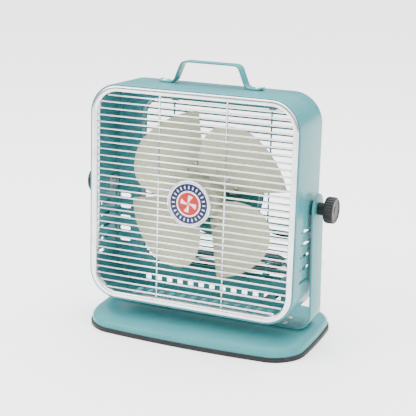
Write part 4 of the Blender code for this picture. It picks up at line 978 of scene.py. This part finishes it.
def makeYoke():
    # one strap: the outline of each arm's top is a half circle, and the bends are quarter turns
    low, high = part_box("yoke")
    middle, level = high[0] - yoke["sheet"] / 2, low[2] + yoke["sheet"] / 2
    half, top = yoke["width"] / 2, pivotZ + yoke["width"] / 2
    bend, arc = yoke["bend"], np.linspace(0, pi / 2, 16)
    caps = top - half * (1 - np.cos(np.linspace(0.02, pi / 2, 26)))
    down = np.linspace(pivotZ, level + bend, 8)[1:-1]
    rightX = np.concatenate([np.full(26 + len(down), middle), middle - bend + bend * np.cos(arc)])
    rightZ = np.concatenate([caps, down, level + bend - bend * np.sin(arc)])
    path = np.stack([np.concatenate([rightX, -rightX[::-1]]), np.concatenate([rightZ, rightZ[::-1]])], 1)
    above = np.clip(path[:, 1] - pivotZ, 0, half)
    widths = np.maximum(2 * np.sqrt(half**2 - above**2), 0.002)
    skin = Skin().rod(strapRows(path, widths, yoke["sheet"], 0.0, 0.0009))
    cut = Skin()
    for s in (-1, 1):
        bore(cut, knob["bore"], -0.02, 0.02, (s * middle, 0, pivotZ), "x", 32)
    addPiece("yokeStrap", skin, enamel, "stand", ("yoke",), False, cut, 35)
    top = level + yoke["sheet"] / 2 + gap
    spots = [(sx * yoke["screwX"], sy * yoke["screwY"], top) for sx in (-1, 1) for sy in (-1, 1)]
    makeScrews("yokeScrew", "yoke_screw", spots, 0.0042, 0.0022, "stand", False)


knob = dict(radius=0.0194, length=0.0146, neck=0.0093, neckLength=0.0116, bore=0.00409, flutes=26)


def makeKnobs():
    # the rim's radius dips between the ribs; the dips fade out on the face and at the back
    n, total = knob["neckLength"], knob["neckLength"] + knob["length"]
    r, t, hole = knob["radius"], total, knob["bore"]
    corners = [(hole, 0), (knob["neck"], 0), (knob["neck"], n), (r - 0.0016, n), (r, n + 0.0018),
               (r, t - 0.0022), (r - 0.0016, t), (r - 0.0042, t - 0.0001), (r - 0.0048, t - 0.0009),
               (0.0062, t - 0.0012), (0.0056, t - 0.0006), (0.0048, t - 0.0005), (0, t - 0.0004)]
    bends = [0, 0.0008, 0.0010, 0.0012, 0.0012, 0.0012, 0.0009, 0.0006, 0.0006, 0.0005, 0.0004, 0.0004, 0]
    profile = np.vstack([soften(corners, bends, False, 4), (0, t - 0.006), (hole, t - 0.006)])

    def ribbed(a, along):
        rim = np.clip((along - n - 0.0006) / 0.0016, 0, 1) * np.clip((total - 0.0012 - along) / 0.0012, 0, 1)
        return 1 - 0.052 * rim * (0.5 - 0.5 * np.cos(knob["flutes"] * a)) ** 1.6

    for side, word in ((-1, "left"), (1, "right")):
        place = (side * (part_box("knob_right")[1][0] - total), 0, pivotZ)
        skin = Skin().ring(spun(profile * (1, side), knob["flutes"] * 12, place, "x", ribbed))
        addPiece(f"clampKnob{word.title()}", skin, knobPlastic, f"knob_{word}", (f"knob_{word}",), sharp=50)


# ---- the fan

fan = dict(radius=0.127, blades=4, sheet=0.0010, rear=-0.0060, front=-0.0360,
           start=8.5, sweep=84.5, roundFrom=44.0, drop=0.067, hub=0.0310, root=0.0365, belly=0.0035,
           rivets=((11, 0.0505), (31, 0.0465), (52, 0.0505)))


def tipRadius(share):
    # past roundFrom the tip draws in, slowly at first: a mild power of the angle plus a strong one
    past = np.clip(fan["sweep"] * share - fan["roundFrom"], 0, None) / (fan["sweep"] - fan["roundFrom"])
    return fan["radius"] - fan["drop"] * (0.45 * past**1.5 + 0.55 * past**7)


def bladePoint(share, reach, turn):
    # angle runs with share, radius with reach, from the root to the tip's curve
    r = fan["root"] + (tipRadius(share) - fan["root"]) * reach
    y = fan["rear"] + (fan["front"] - fan["rear"]) * share - fan["belly"] * np.sin(pi * share) * reach
    a = radians(fan["sweep"]) * share + turn
    return np.stack([r * np.cos(a), y, r * np.sin(a)], -1)


def makeBlades():
    share, reach = np.meshgrid(np.linspace(0, 1, 56), np.linspace(0, 1, 34), indexing="ij")
    sheet = fan["sheet"]
    for k in range(fan["blades"]):
        turn = radians(fan["start"]) + 2 * pi * k / fan["blades"]
        front = bladePoint(share, reach, turn)
        skin = Skin().grid(front).grid(front + (0, sheet, 0))
        edge = sheetEdge(front)
        skin.wrap(np.stack([edge, edge + (0, sheet * 0.5, 0), edge + (0, sheet, 0)]))
        addPiece(f"fanBlade{k + 1}", skin, bladeEnamel, "fan", (f"blade_{k + 1}",), True, sharp=40)
        makeSpider(k, turn)


def makeSpider(k, turn):
    # a riveted root plate behind each blade follows the blade's own surface a little way out from the hub
    arc = np.linspace(0.10, 0.74, 40)
    lobes = 0.5 + 0.5 * np.cos((arc - 0.10) / 0.64 * 4 * pi)
    rows = []
    for step in np.linspace(-0.075, 1, 12):
        reach = np.where(step < 0, step, step * (0.13 + 0.07 * lobes))
        rows.append(bladePoint(arc, reach, turn) + (0, fan["sheet"] + 0.0002, 0))
    rows = np.stack(rows)
    backs = rows + (0, 0.0011, 0)
    skin = Skin().grid(rows).grid(backs).wrap(np.stack([sheetEdge(rows), sheetEdge(backs)]))
    addPiece(f"bladeRoot{k + 1}", skin, bladeEnamel, "fan", (), True, sharp=40)
    heads = Skin()
    for degreesOn, radius in fan["rivets"]:
        share = degreesOn / fan["sweep"]
        reach = (radius - fan["root"]) / (tipRadius(share) - fan["root"])
        dome = [(0, -0.0030), (0.0016, -0.0026), (0.0029, -0.0014), (0.0034, 0.0002), (0.0034, 0.0006),
                (0, 0.0006)]
        heads.wrap(spun(dome, 20, bladePoint(share, reach, turn)))
    addPiece(f"rivets{k + 1}", heads, rivetSteel, "fan", (), True, sharp=50)


def makeHub():
    low, high = headBox("hub")
    front, back, r = low[1], high[1], fan["hub"]
    cup = [(0.0041, front), (r - 0.004, front), (r - 0.001, front + 0.002), (r, front + 0.005), (r, back),
           (r - 0.0015, back), (r - 0.0015, front + 0.006), (r - 0.004, front + 0.0030),
           (0.0090, front + 0.0030), (0.0090, -0.0120), (0.0041, -0.0120)]
    skin = Skin().ring(spun(soften(cup, 0.0012), 96))
    addPiece("fanHub", skin, bladeEnamel, "fan", ("hub",), True, sharp=35)
    low, high = (corner[1] for corner in headBox("hub_nut"))
    flats = lambda a, along: np.cos(pi / 6) / np.cos((a % (pi / 3)) - pi / 6)
    corners = [(0.0047, low), (0.0070, low), (0.0079, low + 0.0009), (0.0079, high), (0.0047, high)]
    nut = Skin().ring(spun(soften(corners, 0.0004), 72, bend=flats))
    addPiece("hubNut", nut, zinc, "fan", ("hub_nut",), True, sharp=25)


# ---- the motor can and the speed knob

can = dict(sheet=0.0012, bead=0.0016, boss=0.0123, switchZ=-0.0535, exitX=0.0440, exitZ=-0.0375)


def makeMotor():
    front, (coverLow, coverHigh) = headBox("motor_plate")[0][1], headBox("motor_cover")
    r, join, back = coverHigh[0], coverLow[1], coverHigh[1]
    s = can["sheet"]
    beadY = rearY + panel["deep"] - 0.0038
    lid = [(can["boss"], front), (0.0500, front), (0.0600, front + 0.0005), (r, front + 0.0005),
           (r, beadY - 0.0012), (r + can["bead"], beadY), (r, beadY + 0.0012), (r, join - gap),
           (r - s, join - gap), (r - s, front + 0.0017), (can["boss"], front + s)]
    bends = [0.0004, 0.002, 0.001, 0.0045, 0.0008, 0.0011, 0.0008, 0.0003, 0.0003, 0.0035, 0.0004]
    skin = Skin().ring(spun(soften(lid, bends, steps=7), 128))
    addPiece("motorPlate", skin, enamel, "head", ("motor_plate",), True, sharp=32)
    cover = [(r, join), (r, back), (0.0, back), (0.0, back - s), (r - s, back - s), (r - s, join)]
    made = Skin().ring(spun(soften(cover, [0.0002, 0.0058, 0, 0, 0.0046, 0.0002], steps=10), 128))
    cut = Skin()
    for x, z, hole in ((0, can["switchZ"], 0.0048), (can["exitX"], can["exitZ"], 0.0045)):
        bore(cut, hole, back - 0.01, back + 0.01, (x, 0, z))
    for a in np.radians(np.arange(20, 170, 13)):
        for ring in (0.036, 0.047):
            bore(cut, 0.0021, back - 0.01, back + 0.01, (ring * cos(a), 0, ring * sin(a)), sides=12)
    addPiece("motorCover", made, enamel, "head", ("motor_cover",), True, cut, 32)


def makeSpeedKnob():
    y, z = headBox("speed_knob")[0][1], can["switchZ"]
    ribs = lambda a, along: 1 - 0.02 * (0.5 + 0.5 * np.cos(24 * a)) * (np.abs(along - y - 0.006) < 0.0045)
    corners = [(0, y), (0.0112, y), (0.0100, y + 0.0124), (0.0086, y + 0.0140), (0, y + 0.0140)]
    profile = soften(corners, [0, 0.0006, 0.0012, 0.0012, 0], False, 5)
    skin = Skin().wrap(spun(profile, 96, (0, 0, z), bend=ribs))
    bar = soften([(-0.0020, -0.0080), (0.0020, -0.0080), (0.0020, 0.0105), (-0.0020, 0.0105)], 0.0014)
    grip = np.array([[(u * k, y + v, z + w * k) for u, w in bar]
                     for v, k in ((0.0130, 1.0), (0.0166, 0.96), (0.0173, 0.86))])
    skin.rod(grip)
    addPiece("speedKnob", skin, blackPlastic, "speed_knob", ("speed_knob",), True, sharp=35)


lead = dict(radius=0.0028)


def makeLead():
    def exitPoint(along):
        # on the line by which the lead leaves the can
        return fromHead([(can["exitX"], headBox("motor_cover")[1][1] + along, can["exitZ"])])[0]

    route = [exitPoint(-0.0050), exitPoint(0.0030), exitPoint(0.0100), (0.0480, 0.0670, 0.1610),
             (0.0590, 0.0710, 0.1475), (0.0740, 0.0720, 0.1390), (0.0890, 0.0720, 0.1365),
             (0.1050, 0.0710, 0.1365), (0.1190, 0.0715, 0.1290), (0.1270, 0.0730, 0.1090),
             (0.1260, 0.0720, 0.0850), (0.1150, 0.0660, 0.0630), (0.0990, 0.0550, 0.0490),
             (0.0880, 0.0475, 0.0400), (0.0850, 0.0460, 0.0300), (0.0850, 0.0460, 0.0190)]
    path = evenly(route, 0.0022)
    made = Skin().rod(tube(path, lead["radius"], 16)).mesh("headLead")
    held = placed("headLead", made)
    made.materials.append(rubber.material)
    smoothed(made, 40)
    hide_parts("head_lead")
    tuple(exitPoint(0.0045))
    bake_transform(held)
    print("lead length", round(pathLength(path), 4))


makeCord()
makeRelief()
print("cord laid")
makeCase()
makeBackPanel()
makeTrim()
makeFrontGrille()
makeBadge()
makeRearGrille()
makeHandle()
print("case built")
makeFoot()
makeYoke()
makeKnobs()
print("stand built")
makeBlades()
makeHub()
makeMotor()
makeSpeedKnob()
makeLead()
print("fan and motor built")
